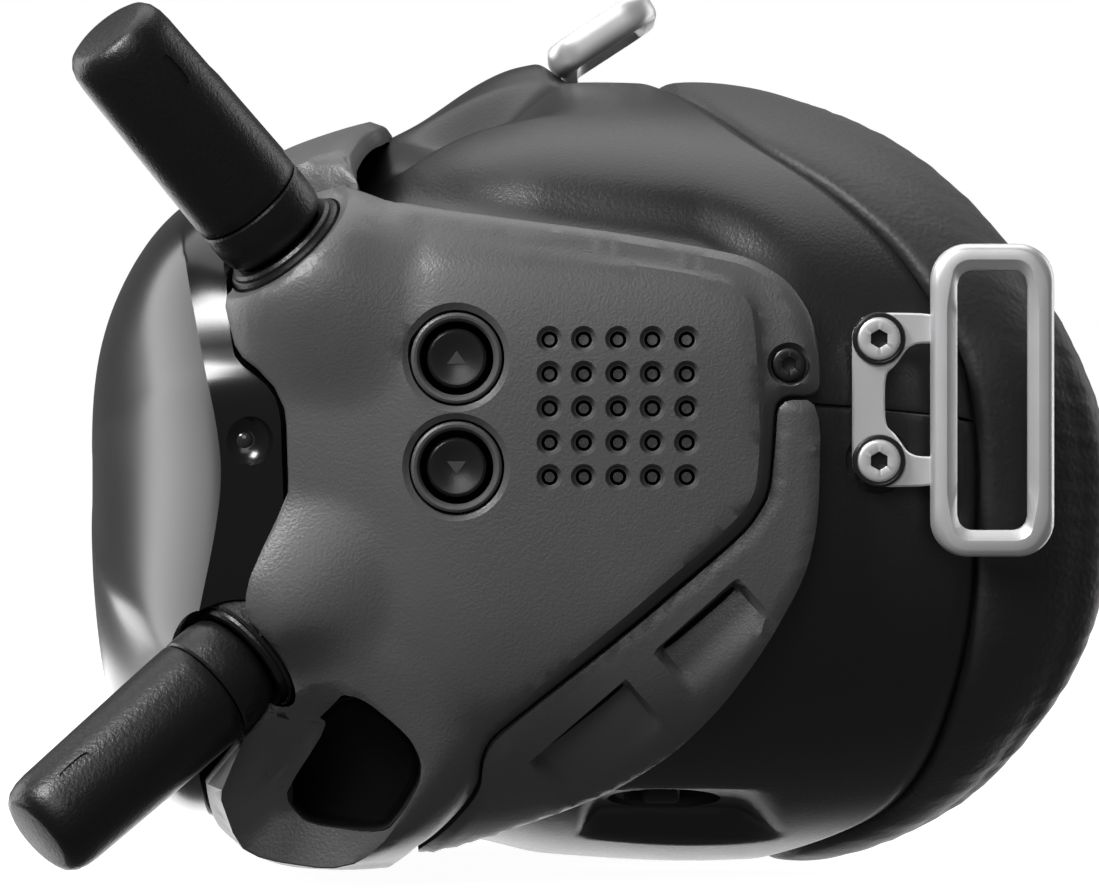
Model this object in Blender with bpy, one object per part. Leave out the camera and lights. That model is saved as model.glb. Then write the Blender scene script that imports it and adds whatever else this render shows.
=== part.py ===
"""First-person-view goggles for flying model aircraft, as an assembly of separate pieces.

Lengths below are in millimetres and are scaled to metres as each piece is made.
+X is the wearer's left, +Y points back towards the face, +Z is up.
The body is drawn around a datum on its optical axis; the empty "datum" lifts it onto the ground.
"""
import math

import bmesh
import bpy
from mathutils import Vector, geometry

MM = 0.001
GAP = 0.3
DATUM = (0.0, -1.8, 58.58)

# y, half width, top, bottom of the hard outer skin: front cover, main shell and lower trims
OUTER_STATIONS = [
    (-50, 78.0, 30.0, -47.0),
    (-44, 83.0, 35.5, -54.0),
    (-38, 86.5, 40.0, -57.6),
    (-30, 89.0, 43.2, -58.6),
    (-22, 90.5, 45.2, -58.3),
    (-10, 91.8, 46.5, -57.0),
    (6, 92.0, 46.0, -54.5),
    (20, 91.8, 44.5, -52.0),
    (36, 91.0, 42.0, -49.0),
]
OUTER_POWER = 4.0
# the same for the dark core: rear shells and face foam
CORE_STATIONS = [
    (-27, 83.0, 40.6, -52.6),
    (-19, 85.0, 44.4, -53.6),
    (-10, 86.4, 48.2, -55.0),
    (0, 87.0, 50.5, -57.2),
    (20, 87.5, 50.0, -58.6),
    (42, 85.0, 46.5, -57.0),
    (56, 82.0, 42.0, -54.0),
    (66, 78.0, 36.5, -50.0),
    (78, 72.0, 30.0, -45.0),
]
CORE_POWER = 2.8
NOSE_HEIGHT = 21.0
NOSE_WIDTH = 15.0
NOSE_START_Y = -4.0
NOSE_FULL_Y = 22.0

SHELL_WALL = 2.0
SLIVER_AREA = 0.002
COVER_POLE = (0.0, -64.0, -4.0)
SEAM_Z = 6.2
FOAM_DEPTH = 12.0
ANGLE_STEP = 7.5
PANEL_STEP = 10.5
COVER_ANGLE_STEP = 10

# where the front cover ends and the main shell begins: angle round the body, y
COVER_EDGE = [(-90, -45), (-60, -46), (-28, -45.5), (-19, -37), (-8, -35), (8, -35), (17, -36), (25, -41.5),
              (60, -43), (90, -44)]
# the front edge of the rear shells, tucked under the main shell
CORE_FRONT = [(-90, -25), (-66, -22), (-50, -11), (-24, -4), (20, -4), (28, -26), (90, -27)]
# where the rear shells end and the foam begins, and where the foam ends at the face
FOAM_SEAM = [(-90, 24), (-67, 32), (-51, 47), (-30, 54.5), (-9, 56.8), (18, 55.5), (33, 47.8), (41, 40), (52, 27),
             (70, 17), (90, 14.5)]
FOAM_RIM = [(-90, 40), (-75, 45), (-62, 54), (-50, 63.5), (-35, 72), (-20, 76), (0, 77.3), (14, 76.5), (28, 73),
            (40, 67), (55, 55), (70, 43), (90, 38)]

PORT_OPENING = [(-28.3, -33.9), (-25.0, -33.2), (-18.6, -38.4), (-17.0, -41.8), (-17.2, -44.5), (-19.4, -48.4),
                (-22.0, -51.4), (-32.0, -50.2), (-34.3, -47.8), (-36.5, -43.2), (-36.4, -41.5), (-33.2, -38.6)]
TRIM_SLOTS = [[(13.6, -27.3), (24.6, -17.4), (26.8, -18.6), (25.6, -21.4), (16.4, -30.6), (14.2, -29.6)],
              [(-2.6, -42.2), (9.8, -31.1), (13.2, -33.3), (12.0, -35.2), (2.6, -43.6), (-0.4, -44.6)]]

TRIM_LINE = [(30.0, SEAM_Z), (29.0, -6.5), (26.5, -10.0), (22.9, -14.0), (10.1, -25.0), (-7.5, -39.2), (-8.8, -41.9),
             (-9.0, -46.4), (-13.9, -52.0), (-18.5, -55.4)]
TRIM_EDGE = [(-14.5, -55.0), (-6.7, -52.6), (7.5, -47.2), (16.4, -41.4), (22.8, -34.8), (28.5, -26.8), (33.7, -17.3),
             (35.4, -9.9), (35.7, SEAM_Z - GAP)]

BUTTON_Y = -12.2
BUTTON_Z = {"up": 11.4, "down": -2.9}
BUTTON_R = 3.95
BEZEL_INNER_R = 4.85
BEZEL_OUTER_R = 5.95
BEZEL_HOLE_R = 6.45
VENT_CENTRE = (9.0, 4.8)
VENT_PITCH = 4.5
VENT_COUNT = 5
VENT_HOLE_R = 1.2
SHELL_SCREW = (31.5, 10.6)
SHELL_SCREW_R = 2.3

JOYSTICK = (-12.2, 6.0)
BACK_BUTTON = (2.0, 12.0)
RECORD_BUTTON = (2.0, 0.0)
ROUND_KEY_R = 3.4

ANTENNAS = {"upper": ((80.0, -35.0, 26.5), (0.358, -0.597, 0.719)),
            "lower": ((80.0, -40.0, -27.5), (0.358, -0.700, -0.616))}
ANTENNA_HOLE_R = 9.0
ANTENNA_TIP = 38.6
ANTENNA_R = 7.3

LOOP_SIZE = (16.3, 41.2)
LOOP_BAR = 3.5
LOOP_DEPTH = 4.6
LOOP_CENTRE = (87.9, 58.3, 5.9)
BRACKET_X = 86.0
BRACKET_THICK = 1.4
STRAP_SCREW_Y = 43.4
STRAP_SCREW_Z = (14.0, -2.1)
STRAP_SCREW_R = 2.85
STRAP_SCREW_HEAD = 1.6
TOP_LOOP_CENTRE = (0.0, 7.3, 57.3)
TOP_LOOP_TILT = math.radians(33)
TOP_NECK_Y = 2.8

EYE_X = 32.0
EYE_Z = -2.0
BARREL_R = 20.0
LENS_R = 17.5
FACE_PLATE_Y = 9.0
IPD_KNOB = (58.0, 15.0, -48.4)
IPD_OPENING_R = 8.0

FINISHES = {
    "gloss_black": ((0.012, 0.012, 0.013), 0.12, 0.0),
    "shell_grey": ((0.085, 0.085, 0.088), 0.55, 0.0),
    "core_black": ((0.022, 0.022, 0.023), 0.45, 0.0),
    "soft_black": ((0.02, 0.02, 0.02), 0.6, 0.0),
    "foam_black": ((0.018, 0.018, 0.018), 0.65, 0.0),
    "satin_steel": ((0.62, 0.62, 0.63), 0.3, 1.0),
    "dark_steel": ((0.06, 0.06, 0.06), 0.4, 1.0),
    "lens_glass": ((0.5, 0.5, 0.55), 0.03, 0.0),
    "display_glass": ((0.02, 0.02, 0.03), 0.1, 0.0),
    "board_green": ((0.02, 0.12, 0.06), 0.5, 0.0),
}


def clear_scene():
    for obj in list(bpy.data.objects):
        bpy.data.objects.remove(obj, do_unlink=True)


def smooth_step(t):
    t = min(max(t, 0.0), 1.0)
    return t * t * (3.0 - 2.0 * t)


def through(rows, x):
    """Smooth curve through rows of (x, value, ...): a Hermite spline with averaged slopes."""
    x = min(max(x, rows[0][0]), rows[-1][0])
    k = 0
    while k < len(rows) - 2 and x > rows[k + 1][0]:
        k += 1

    def slope(i, c):
        a = rows[max(i - 1, 0)]
        b = rows[min(i + 1, len(rows) - 1)]
        return (b[c] - a[c]) / (b[0] - a[0])

    x0, x1 = rows[k][0], rows[k + 1][0]
    width = x1 - x0
    t = (x - x0) / width
    values = []
    for c in range(1, len(rows[0])):
        p0, p1 = rows[k][c], rows[k + 1][c]
        m0, m1 = slope(k, c) * width, slope(k + 1, c) * width
        values.append((2 * t**3 - 3 * t**2 + 1) * p0 + (t**3 - 2 * t**2 + t) * m0
                      + (3 * t**2 - 2 * t**3) * p1 + (t**3 - t**2) * m1)
    return values


class Skin:
    """A form of rounded cross-sections along y; v is the angle round it, 0 at the left side, 90 on top."""

    def __init__(self, stations, power, nose):
        self.stations = stations
        self.power = power
        self.nose = nose

    def bare(self, y, v):
        half, top, bottom = through(self.stations, y)
        c, s = math.cos(math.radians(v)), math.sin(math.radians(v))
        r = (abs(c) ** self.power + abs(s) ** self.power) ** (-1 / self.power)
        x = half * r * c
        z = (top + bottom) / 2 + (top - bottom) / 2 * r * s
        if self.nose and s < 0:
            rise = NOSE_HEIGHT * smooth_step((y - NOSE_START_Y) / (NOSE_FULL_Y - NOSE_START_Y))
            z += rise * math.exp(-(x / NOSE_WIDTH) ** 2) * smooth_step(-2 * s)
        return Vector((x, y, z))

    def point(self, y, v, out=0.0):
        base = self.bare(y, v)
        if out == 0.0:
            return base
        along_y = self.bare(y + 0.2, v) - self.bare(y - 0.2, v)
        along_v = self.bare(y, v + 0.5) - self.bare(y, v - 0.5)
        normal = along_y.cross(along_v).normalized()
        moved = base + normal * out
        if abs(abs(v) - 90) < 1e-6:
            moved.x = 0.0
        return moved

    def angle(self, y, z):
        half, top, bottom = through(self.stations, y)
        t = (z - (top + bottom) / 2) / ((top - bottom) / 2)
        t = min(max(t, -0.9995), 0.9995)
        return math.degrees(math.atan2(t, (1 - abs(t) ** self.power) ** (1 / self.power)))


OUTER = Skin(OUTER_STATIONS, OUTER_POWER, False)
CORE = Skin(CORE_STATIONS, CORE_POWER, True)


def finish_material(name, slot):
    color, roughness, metallic = FINISHES[slot]
    material = bpy.data.materials.new(name + "_" + slot)
    material.use_nodes = True
    shader = material.node_tree.nodes["Principled BSDF"]
    shader.inputs["Base Color"].default_value = (*color, 1.0)
    shader.inputs["Roughness"].default_value = roughness
    shader.inputs["Metallic"].default_value = metallic
    return material


def add_piece(name, mesh, slot, location=(0, 0, 0), rotation=None):
    """Put a bmesh drawn in millimetres into the scene as one named piece."""
    bmesh.ops.scale(mesh, vec=(MM, MM, MM), verts=mesh.verts)
    data = bpy.data.meshes.new(name)
    mesh.to_mesh(data)
    mesh.free()
    data.shade_smooth()
    data.set_sharp_from_angle(angle=math.radians(35))
    data.materials.append(finish_material(name, slot))
    obj = bpy.data.objects.new(name, data)
    bpy.context.scene.collection.objects.link(obj)
    obj.parent = bpy.data.objects["datum"]
    obj.location = Vector(location) * MM
    if rotation is not None:
        obj.rotation_mode = "QUATERNION"
        obj.rotation_quaternion = rotation
    return obj


def add_modifier(obj, kind, **values):
    modifier = obj.modifiers.new(kind.lower(), kind)
    for key, value in values.items():
        setattr(modifier, key, value)
    return modifier


def cut_away(obj, *cutters):
    """Boolean difference with each cutter, which then stays as a hidden guide."""
    for cutter in cutters:
        cutter.hide_render = True
        cutter.display_type = "WIRE"
        add_modifier(obj, "BOOLEAN", operation="DIFFERENCE", object=cutter, solver="EXACT")


def turned(profile, segments):
    """Solid of revolution about z from a closed profile of (radius, height), or one that ends on the axis."""
    mesh = bmesh.new()
    points = [mesh.verts.new((r, 0, z)) for r, z in profile]
    edges = [mesh.edges.new((a, b)) for a, b in zip(points, points[1:])]
    if profile[0][0] > 0:
        edges.append(mesh.edges.new((points[-1], points[0])))
    bmesh.ops.spin(mesh, geom=points + edges, cent=(0, 0, 0), axis=(0, 0, 1), angle=math.tau, steps=segments,
                   use_merge=True)
    bmesh.ops.remove_doubles(mesh, verts=mesh.verts, dist=1e-4)
    bmesh.ops.recalc_face_normals(mesh, faces=mesh.faces)
    return mesh


def block(size, centre=(0, 0, 0)):
    mesh = bmesh.new()
    bmesh.ops.create_cube(mesh, size=1.0)
    bmesh.ops.scale(mesh, vec=size, verts=mesh.verts)
    bmesh.ops.translate(mesh, vec=centre, verts=mesh.verts)
    return mesh


def extruded(outline, depth, to_space):
    """Prism from a flat outline; to_space maps (a, b, c) to x, y, z with c along the depth."""
    mesh = bmesh.new()
    bottom = [mesh.verts.new(to_space(a, b, 0.0)) for a, b in outline]
    top = [mesh.verts.new(to_space(a, b, depth)) for a, b in outline]
    mesh.faces.new(bottom[::-1])
    mesh.faces.new(top)
    for i in range(len(outline)):
        j = (i + 1) % len(outline)
        mesh.faces.new((bottom[i], bottom[j], top[j], top[i]))
    bmesh.ops.recalc_face_normals(mesh, faces=mesh.faces)
    return mesh


def circle(cx, cy, radius, count, start=0.0):
    return [(cx + radius * math.cos(start + math.tau * i / count), cy + radius * math.sin(start + math.tau * i / count))
            for i in range(count)]


def is_inside(p, loop):
    hit = False
    for (ax, ay), (bx, by) in zip(loop, loop[1:] + loop[:1]):
        if (ay > p[1]) != (by > p[1]) and p[0] < (bx - ax) * (p[1] - ay) / (by - ay) + ax:
            hit = not hit
    return hit


def divided(loop, step):
    """The same closed loop with no side longer than step."""
    result = []
    for (ax, ay), (bx, by) in zip(loop, loop[1:] + loop[:1]):
        count = max(1, math.ceil(math.hypot(bx - ax, by - ay) / step))
        result += [(ax + (bx - ax) * i / count, ay + (by - ay) * i / count) for i in range(count)]
    return result


def flat_triangles(outline, holes, step):
    """Triangulate an outline with holes, with a staggered grid of points inside it."""
    loops = [divided(outline, step)] + holes
    coords, edges = [], []
    for loop in loops:
        first = len(coords)
        coords += loop
        edges += [(first + i, first + (i + 1) % len(loop)) for i in range(len(loop))]
    fixed = list(coords)
    low_a, high_a = min(p[0] for p in outline), max(p[0] for p in outline)
    low_b, high_b = min(p[1] for p in outline), max(p[1] for p in outline)
    rows = int((high_b - low_b) / (step * 0.87))
    for j in range(1, rows + 1):
        b = low_b + j * (high_b - low_b) / (rows + 1)
        a = low_a + (0.5 if j % 2 else 1.0) * step
        while a < high_a:
            free = all((a - p[0]) ** 2 + (b - p[1]) ** 2 > (0.55 * step) ** 2 for p in fixed)
            if free and is_inside((a, b), loops[0]) and not any(is_inside((a, b), h) for h in holes):
                coords.append((a, b))
            a += step
    points, _, faces, *_ = geometry.delaunay_2d_cdt([Vector(p) for p in coords], edges, [], 0, 1e-5)
    kept = []
    for face in faces:
        a, b, c = (points[i] for i in face)
        centre = (a + b + c) / 3
        is_sliver = abs((b - a).cross(c - a)) < SLIVER_AREA
        if not is_sliver and is_inside(centre, loops[0]) and not any(is_inside(centre, h) for h in holes):
            kept.append(face)
    return [tuple(p) for p in points], kept


def panel(skin, outline, holes, wall, step, mirrored=False, mesh=None):
    """Curved wall on a skin from an outline in (y, angle); sides that lie on the middle plane stay open."""
    mesh = mesh or bmesh.new()
    points, faces = flat_triangles(outline, holes, step)
    side = -1 if mirrored else 1
    flip = Vector((side, 1, 1))
    outer = [mesh.verts.new(skin.point(y, v) * flip) for y, v in points]
    inner = [mesh.verts.new(skin.point(y, v, -wall) * flip) for y, v in points]
    sides = {}
    for face in faces:
        a, b, c = face[::side]
        mesh.faces.new((outer[a], outer[b], outer[c]))
        mesh.faces.new((inner[c], inner[b], inner[a]))
        for edge in ((a, b), (b, c), (c, a)):
            sides[edge] = sides.get(edge, 0) + 1
    for a, b in sides:
        on_middle = abs(abs(points[a][1]) - 90) < 1e-6 and abs(abs(points[b][1]) - 90) < 1e-6
        if (b, a) not in sides and not on_middle:
            mesh.faces.new((outer[b], outer[a], inner[a], inner[b]))
    for vert in list(mesh.verts):
        if not vert.link_faces:
            mesh.verts.remove(vert)
    return mesh


def on_side(skin, loop):
    """Turn side-view points (y, z) into (y, angle) on a skin."""
    return [(y, skin.angle(y, z)) for y, z in loop]


def shifted(line, distance):
    """An open line of points moved sideways, to its right when distance is positive."""
    moved = []
    for i, (x, y) in enumerate(line):
        (ax, ay), (bx, by) = line[max(i - 1, 0)], line[min(i + 1, len(line) - 1)]
        length = math.hypot(bx - ax, by - ay)
        moved.append((x + (by - ay) / length * distance, y - (bx - ax) / length * distance))
    return moved


def tube_wall(skin, angles, start, end, wall, rows):
    """Wall on a skin between the curves start(v) and end(v), over a run of angles that doesn't close."""
    mesh = bmesh.new()
    grids = []
    for out in (0.0, -wall):
        grid = []
        for v in angles:
            y0, y1 = start(v), end(v)
            grid.append([mesh.verts.new(skin.point(y0 + (y1 - y0) * k / rows, v, out)) for k in range(rows + 1)])
        grids.append(grid)
    outer, inner = grids
    last = len(angles) - 1
    for i in range(last):
        for k in range(rows):
            mesh.faces.new((outer[i][k], outer[i][k + 1], outer[i + 1][k + 1], outer[i + 1][k]))
            mesh.faces.new((inner[i][k], inner[i + 1][k], inner[i + 1][k + 1], inner[i][k + 1]))
        for k in (0, rows):
            mesh.faces.new((outer[i][k], outer[i + 1][k], inner[i + 1][k], inner[i][k]))
    for i in (0, last):
        for k in range(rows):
            mesh.faces.new((outer[i][k], outer[i][k + 1], inner[i][k + 1], inner[i][k]))
    bmesh.ops.recalc_face_normals(mesh, faces=mesh.faces)
    return mesh


def folded_angle(v):
    """The same height on the left side for an angle anywhere round the body."""
    v = (v + 180) % 360 - 180
    if v > 90:
        return 180 - v
    if v < -90:
        return -180 - v
    return v


def curve_at(rows, v):
    return through(rows, folded_angle(v))[0]


def cover_point(turn, v, inset):
    """Point of the front cover: turn runs from 0 at its rear edge to 1 at the pole of its bowed front."""
    edge = OUTER.point(curve_at(COVER_EDGE, v) - GAP, v, -inset)
    rise = math.sin(math.radians(v))
    if rise > 0:
        power = 2.6 - 0.9 * rise ** 2
    else:
        power = 2.6 - 0.3 * rise ** 2
    angle = turn * math.pi / 2
    radial = math.cos(angle) ** (2 / power)
    depth = math.sin(angle) ** (2 / power)
    pole_y = COVER_POLE[1] + inset
    return Vector((edge.x * radial, edge.y + (pole_y - edge.y) * depth, COVER_POLE[2] + (edge.z - COVER_POLE[2]) * radial))


def make_front_cover():
    columns, rows = 360 // COVER_ANGLE_STEP, 7
    mesh = bmesh.new()
    layers = []
    for inset in (0.0, SHELL_WALL):
        rings = [[mesh.verts.new(cover_point(k / rows, 360 * i / columns, inset)) for i in range(columns)]
                 for k in range(rows)]
        layers.append((rings, mesh.verts.new((0, COVER_POLE[1] + inset, COVER_POLE[2]))))
    for i in range(columns):
        j = (i + 1) % columns
        for rings, pole in layers:
            for k in range(rows - 1):
                mesh.faces.new((rings[k][i], rings[k][j], rings[k + 1][j], rings[k + 1][i]))
            mesh.faces.new((rings[-1][i], rings[-1][j], pole))
        mesh.faces.new((layers[0][0][0][i], layers[0][0][0][j], layers[1][0][0][j], layers[1][0][0][i]))
    bmesh.ops.recalc_face_normals(mesh, faces=mesh.faces)
    return add_piece("front_cover", mesh, "gloss_black")


def main_shell_outline():
    """Side wall, top band and underside of one half of the main shell, as (y, angle)."""
    front = [(curve_at(COVER_EDGE, v) + GAP, v) for v in range(-90, 91, COVER_ANGLE_STEP)]
    ridge = [(-24.5, 43.4), (-26.6, 40.6), (-27.4, 36.5), (-26.3, 33.7), (-9.2, 31.0), (24.5, 26.1), (29.5, 23.3),
             (33.1, 19.1), (35.4, 13.9), (35.7, SEAM_Z + GAP)]
    lower = shifted(TRIM_LINE, GAP)
    lower[0] = (lower[0][0], SEAM_Z + GAP)
    return ([(-23.5, -90), (-21.5, -76)] + on_side(OUTER, lower[::-1]) + on_side(OUTER, ridge[::-1])
            + [(-23.0, 72), (-22.5, 90)] + front[::-1])


def vent_centres():
    y0, z0 = VENT_CENTRE
    middle = (VENT_COUNT - 1) / 2
    return [(y0 + (i - middle) * VENT_PITCH, z0 + (j - middle) * VENT_PITCH)
            for i in range(VENT_COUNT) for j in range(VENT_COUNT)]


def make_main_shell(antenna_cutters):
    outline = main_shell_outline()
    port = on_side(OUTER, PORT_OPENING[::-1])
    screw = on_side(OUTER, circle(*SHELL_SCREW, SHELL_SCREW_R + GAP, 10))
    left = [port, screw]
    left += [on_side(OUTER, circle(BUTTON_Y, z, BEZEL_HOLE_R, 16)) for z in BUTTON_Z.values()]
    left += [on_side(OUTER, circle(y, z, VENT_HOLE_R, 6)) for y, z in vent_centres()]
    right = [port, screw]
    right += [on_side(OUTER, circle(*JOYSTICK, BEZEL_HOLE_R, 16))]
    right += [on_side(OUTER, circle(*centre, ROUND_KEY_R + 0.4, 14)) for centre in (BACK_BUTTON, RECORD_BUTTON)]
    mesh = panel(OUTER, outline, left, SHELL_WALL, PANEL_STEP)
    panel(OUTER, outline, right, SHELL_WALL, PANEL_STEP, mirrored=True, mesh=mesh)
    bmesh.ops.remove_doubles(mesh, verts=mesh.verts, dist=1e-3)
    bmesh.ops.recalc_face_normals(mesh, faces=mesh.faces)
    shell = add_piece("main_shell", mesh, "shell_grey")
    cut_away(shell, *antenna_cutters)
    return shell


def make_trim(side, name):
    inner = shifted(TRIM_LINE, -GAP)
    inner[0] = (inner[0][0], SEAM_Z - GAP)
    outline = on_side(OUTER, inner + TRIM_EDGE)[::-1]
    holes = [on_side(OUTER, slot) for slot in TRIM_SLOTS]
    mesh = panel(OUTER, outline, holes, SHELL_WALL, PANEL_STEP, mirrored=side < 0)
    bmesh.ops.recalc_face_normals(mesh, faces=mesh.faces)
    add_piece(name, mesh, "shell_grey")


def make_rear_shells():
    def front(v):
        return curve_at(CORE_FRONT, v)

    def back(v):
        return curve_at(FOAM_SEAM, v)

    low = CORE.angle(20, SEAM_Z)
    steps = [ANGLE_STEP * i for i in range(int(360 / ANGLE_STEP))]
    upper = [low + 0.2] + [v for v in steps if low + 2 < v < 178 - low] + [179.8 - low]
    lower = [180.2 - low] + [v for v in steps if v > 182 - low] + [360 + v for v in steps if v < low - 2] + [359.8 + low]
    add_piece("rear_shell_upper", tube_wall(CORE, upper, front, back, SHELL_WALL, 5), "core_black")
    return add_piece("rear_shell_lower", tube_wall(CORE, lower, front, back, SHELL_WALL, 5), "core_black")


def make_face_foam():
    """Ring of foam: a thick wall on the core skin with a rolled edge against the face."""
    columns = int(360 / ANGLE_STEP)
    roll = FOAM_DEPTH / 2
    mesh = bmesh.new()
    rings = []
    for i in range(columns):
        v = ANGLE_STEP * i
        start, rim = curve_at(FOAM_SEAM, v) + 2 * GAP, curve_at(FOAM_RIM, v)
        section = [(start, 0), ((start + rim - roll) / 2, 0), (rim - roll, 0)]
        section += [(rim - roll + roll * math.cos(math.radians(a)), -roll + roll * math.sin(math.radians(a)))
                    for a in (45, 0, -45, -90)]
        section += [((start + rim - roll) / 2, -FOAM_DEPTH), (start, -FOAM_DEPTH)]
        rings.append([mesh.verts.new(CORE.point(y, v, out)) for y, out in section])
    count = len(rings[0])
    for i in range(columns):
        j = (i + 1) % columns
        for k in range(count):
            n = (k + 1) % count
            mesh.faces.new((rings[i][k], rings[i][n], rings[j][n], rings[j][k]))
    bmesh.ops.recalc_face_normals(mesh, faces=mesh.faces)
    add_piece("face_foam", mesh, "foam_black")


def make_face_plate():
    """Flat inner plate behind the lenses, following the core's cross-section, with two round eye openings."""
    outline = []
    for i in range(int(360 / ANGLE_STEP)):
        p = CORE.point(FACE_PLATE_Y + 2.0, ANGLE_STEP * i, -SHELL_WALL - 6 * GAP)
        outline.append((p.x, p.z))
    holes = [circle(side * EYE_X, EYE_Z, 25.0, 24) for side in (1, -1)]
    points, faces = flat_triangles(outline, holes, 60.0)
    mesh = bmesh.new()
    back = [mesh.verts.new((x, FACE_PLATE_Y + 1.0, z)) for x, z in points]
    front = [mesh.verts.new((x, FACE_PLATE_Y - 1.0, z)) for x, z in points]
    sides = set()
    for a, b, c in faces:
        mesh.faces.new((back[c], back[b], back[a]))
        mesh.faces.new((front[a], front[b], front[c]))
        sides |= {(a, b), (b, c), (c, a)}
    for a, b in sides:
        if (b, a) not in sides:
            mesh.faces.new((front[b], front[a], back[a], back[b]))
    bmesh.ops.recalc_face_normals(mesh, faces=mesh.faces)
    add_piece("face_plate", mesh, "soft_black")


def axis_turn(direction):
    return Vector(direction).to_track_quat("Z", "Y")


def make_antenna(corner, side):
    (x, y, z), (dx, dy, dz) = ANTENNAS[corner]
    name = f"antenna_{corner}_{'left' if side > 0 else 'right'}"
    base, turn = (side * x, y, z), axis_turn((side * dx, dy, dz))
    seat = [(0, -6.0), (8.4, -6.0), (8.6, -1.0), (8.6, 0.6), (8.0, 1.2), (6.4, 1.2), (6.0, -2.0), (2.4, -2.0), (2.4, 6.0),
            (0, 6.0)]
    nut = [(2.9, 1.6), (6.9, 1.6), (7.5, 2.3), (7.7, 4.0), (7.7, 8.0), (2.9, 8.0)]
    sleeve = [(0, 8.3), (7.7, 8.3), (7.7, 10.0), (ANTENNA_R, ANTENNA_TIP - 3.2), (6.7, ANTENNA_TIP - 0.9),
              (5.2, ANTENNA_TIP - 0.1), (0, ANTENNA_TIP)]
    for label, profile, slot in (("seat", seat, "soft_black"), ("nut", nut, "soft_black"),
                                 ("sleeve", sleeve, "soft_black")):
        add_piece(f"{name}_{label}", turned(profile, 18), slot, base, turn)
    cutter = add_piece(f"{name}_hole", turned([(0, -16), (ANTENNA_HOLE_R, -16), (ANTENNA_HOLE_R, 16), (0, 16)], 24),
                       "soft_black", base, turn)
    return cutter


def side_x(y, z):
    return OUTER.point(y, OUTER.angle(y, z)).x


def outward(side):
    return axis_turn((side, 0, 0))


def make_buttons():
    cap = [(0, -6.0), (BUTTON_R, -6.0), (BUTTON_R, -0.6), (BUTTON_R - 0.5, -0.1), (2.4, -0.5), (0, -0.8)]
    bezel = [(BEZEL_INNER_R, -3.4), (BEZEL_OUTER_R, -3.4), (BEZEL_OUTER_R, 0.0), (5.5, 0.35), (BEZEL_INNER_R, 0.0)]
    for label, z in BUTTON_Z.items():
        place = (side_x(BUTTON_Y, z), BUTTON_Y, z)
        add_piece(f"button_{label}", turned(cap, 18), "gloss_black", place, outward(1))
        add_piece(f"button_{label}_bezel", turned(bezel, 18), "shell_grey", place, outward(1))


def make_right_controls():
    """Five-way stick, back key and record key on the right side."""
    y, z = JOYSTICK
    x = -side_x(y, z)
    carriage = [(0, -9.0), (3.0, -9.0), (3.0, -7.2), (0, -7.2)]
    ring = [(2.0, -6.5), (3.0, -6.5), (3.0, -4.9), (2.0, -4.9)]
    stick = [(0, -6.6), (1.5, -6.6), (1.5, -1.5), (4.2, -0.6), (4.6, 0.6), (4.0, 1.8), (1.5, 1.4), (0, 1.3)]
    for label, profile in (("joystick_carriage", carriage), ("joystick_ring", ring), ("joystick_cap", stick)):
        add_piece(label, turned(profile, 16), "soft_black", (x, y, z), outward(-1))
    key = [(0, -3.2), (ROUND_KEY_R, -3.2), (ROUND_KEY_R, 0.2), (2.9, 0.6), (0, 0.7)]
    for label, (y, z) in (("back_button", BACK_BUTTON), ("record_button", RECORD_BUTTON)):
        add_piece(label, turned(key, 16), "soft_black", (-side_x(y, z), y, z), outward(-1))


def make_vent_grille():
    """Dark plate behind the perforated field."""
    y, z = VENT_CENTRE
    x = side_x(y, z) - SHELL_WALL - 1.7
    span = VENT_PITCH * VENT_COUNT
    add_piece("vent_grille", block((0.6, span, span), (x, y, z)), "soft_black")


def make_screw(name, radius, height, slot, place, side):
    """Button-head screw with a blind hexagon socket and a short shank."""
    profile = [(0, -1.8), (radius * 0.5, -1.8), (radius * 0.5, 0), (radius, 0), (radius, height * 0.45),
               (radius * 0.78, height), (0, height)]
    screw = add_piece(name, turned(profile, 14), slot, place, outward(side))
    floor = height * 0.35
    hexagon = [(0, floor), (radius * 0.42, floor), (radius * 0.42, height + 1), (0, height + 1)]
    socket = add_piece(name + "_socket", turned(hexagon, 6), slot, place, outward(side))
    cut_away(screw, socket)


def rounded_box(half_a, half_b, radius, steps):
    points = []
    for corner, (sa, sb) in enumerate(((1, 1), (-1, 1), (-1, -1), (1, -1))):
        for k in range(steps + 1):
            angle = math.radians(90 * corner + 90 * k / steps)
            points.append((sa * (half_a - radius) + radius * math.cos(angle),
                           sb * (half_b - radius) + radius * math.sin(angle)))
    return points


def loop_mesh(to_space):
    """Closed strap loop: a rounded-oblong ring whose bar is flat inside and rounded outside."""
    half_a, half_b = LOOP_SIZE[0] / 2, LOOP_SIZE[1] / 2
    section = [(0.0, -0.25), (0.35, -0.5), (1.0, -0.35), (1.0, 0.35), (0.35, 0.5), (0.0, 0.25)]
    mesh = bmesh.new()
    rings = []
    for depth, level in section:
        inset = depth * LOOP_BAR
        outline = rounded_box(half_a - inset, half_b - inset, 4.6 - inset * 0.9, 4)
        rings.append([mesh.verts.new(to_space(a, b, level * LOOP_DEPTH)) for a, b in outline])
    count = len(rings[0])
    for k in range(len(rings)):
        ring, following = rings[k], rings[(k + 1) % len(rings)]
        for i in range(count):
            j = (i + 1) % count
            mesh.faces.new((ring[i], ring[j], following[j], following[i]))
    bmesh.ops.recalc_face_normals(mesh, faces=mesh.faces)
    return mesh


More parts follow.
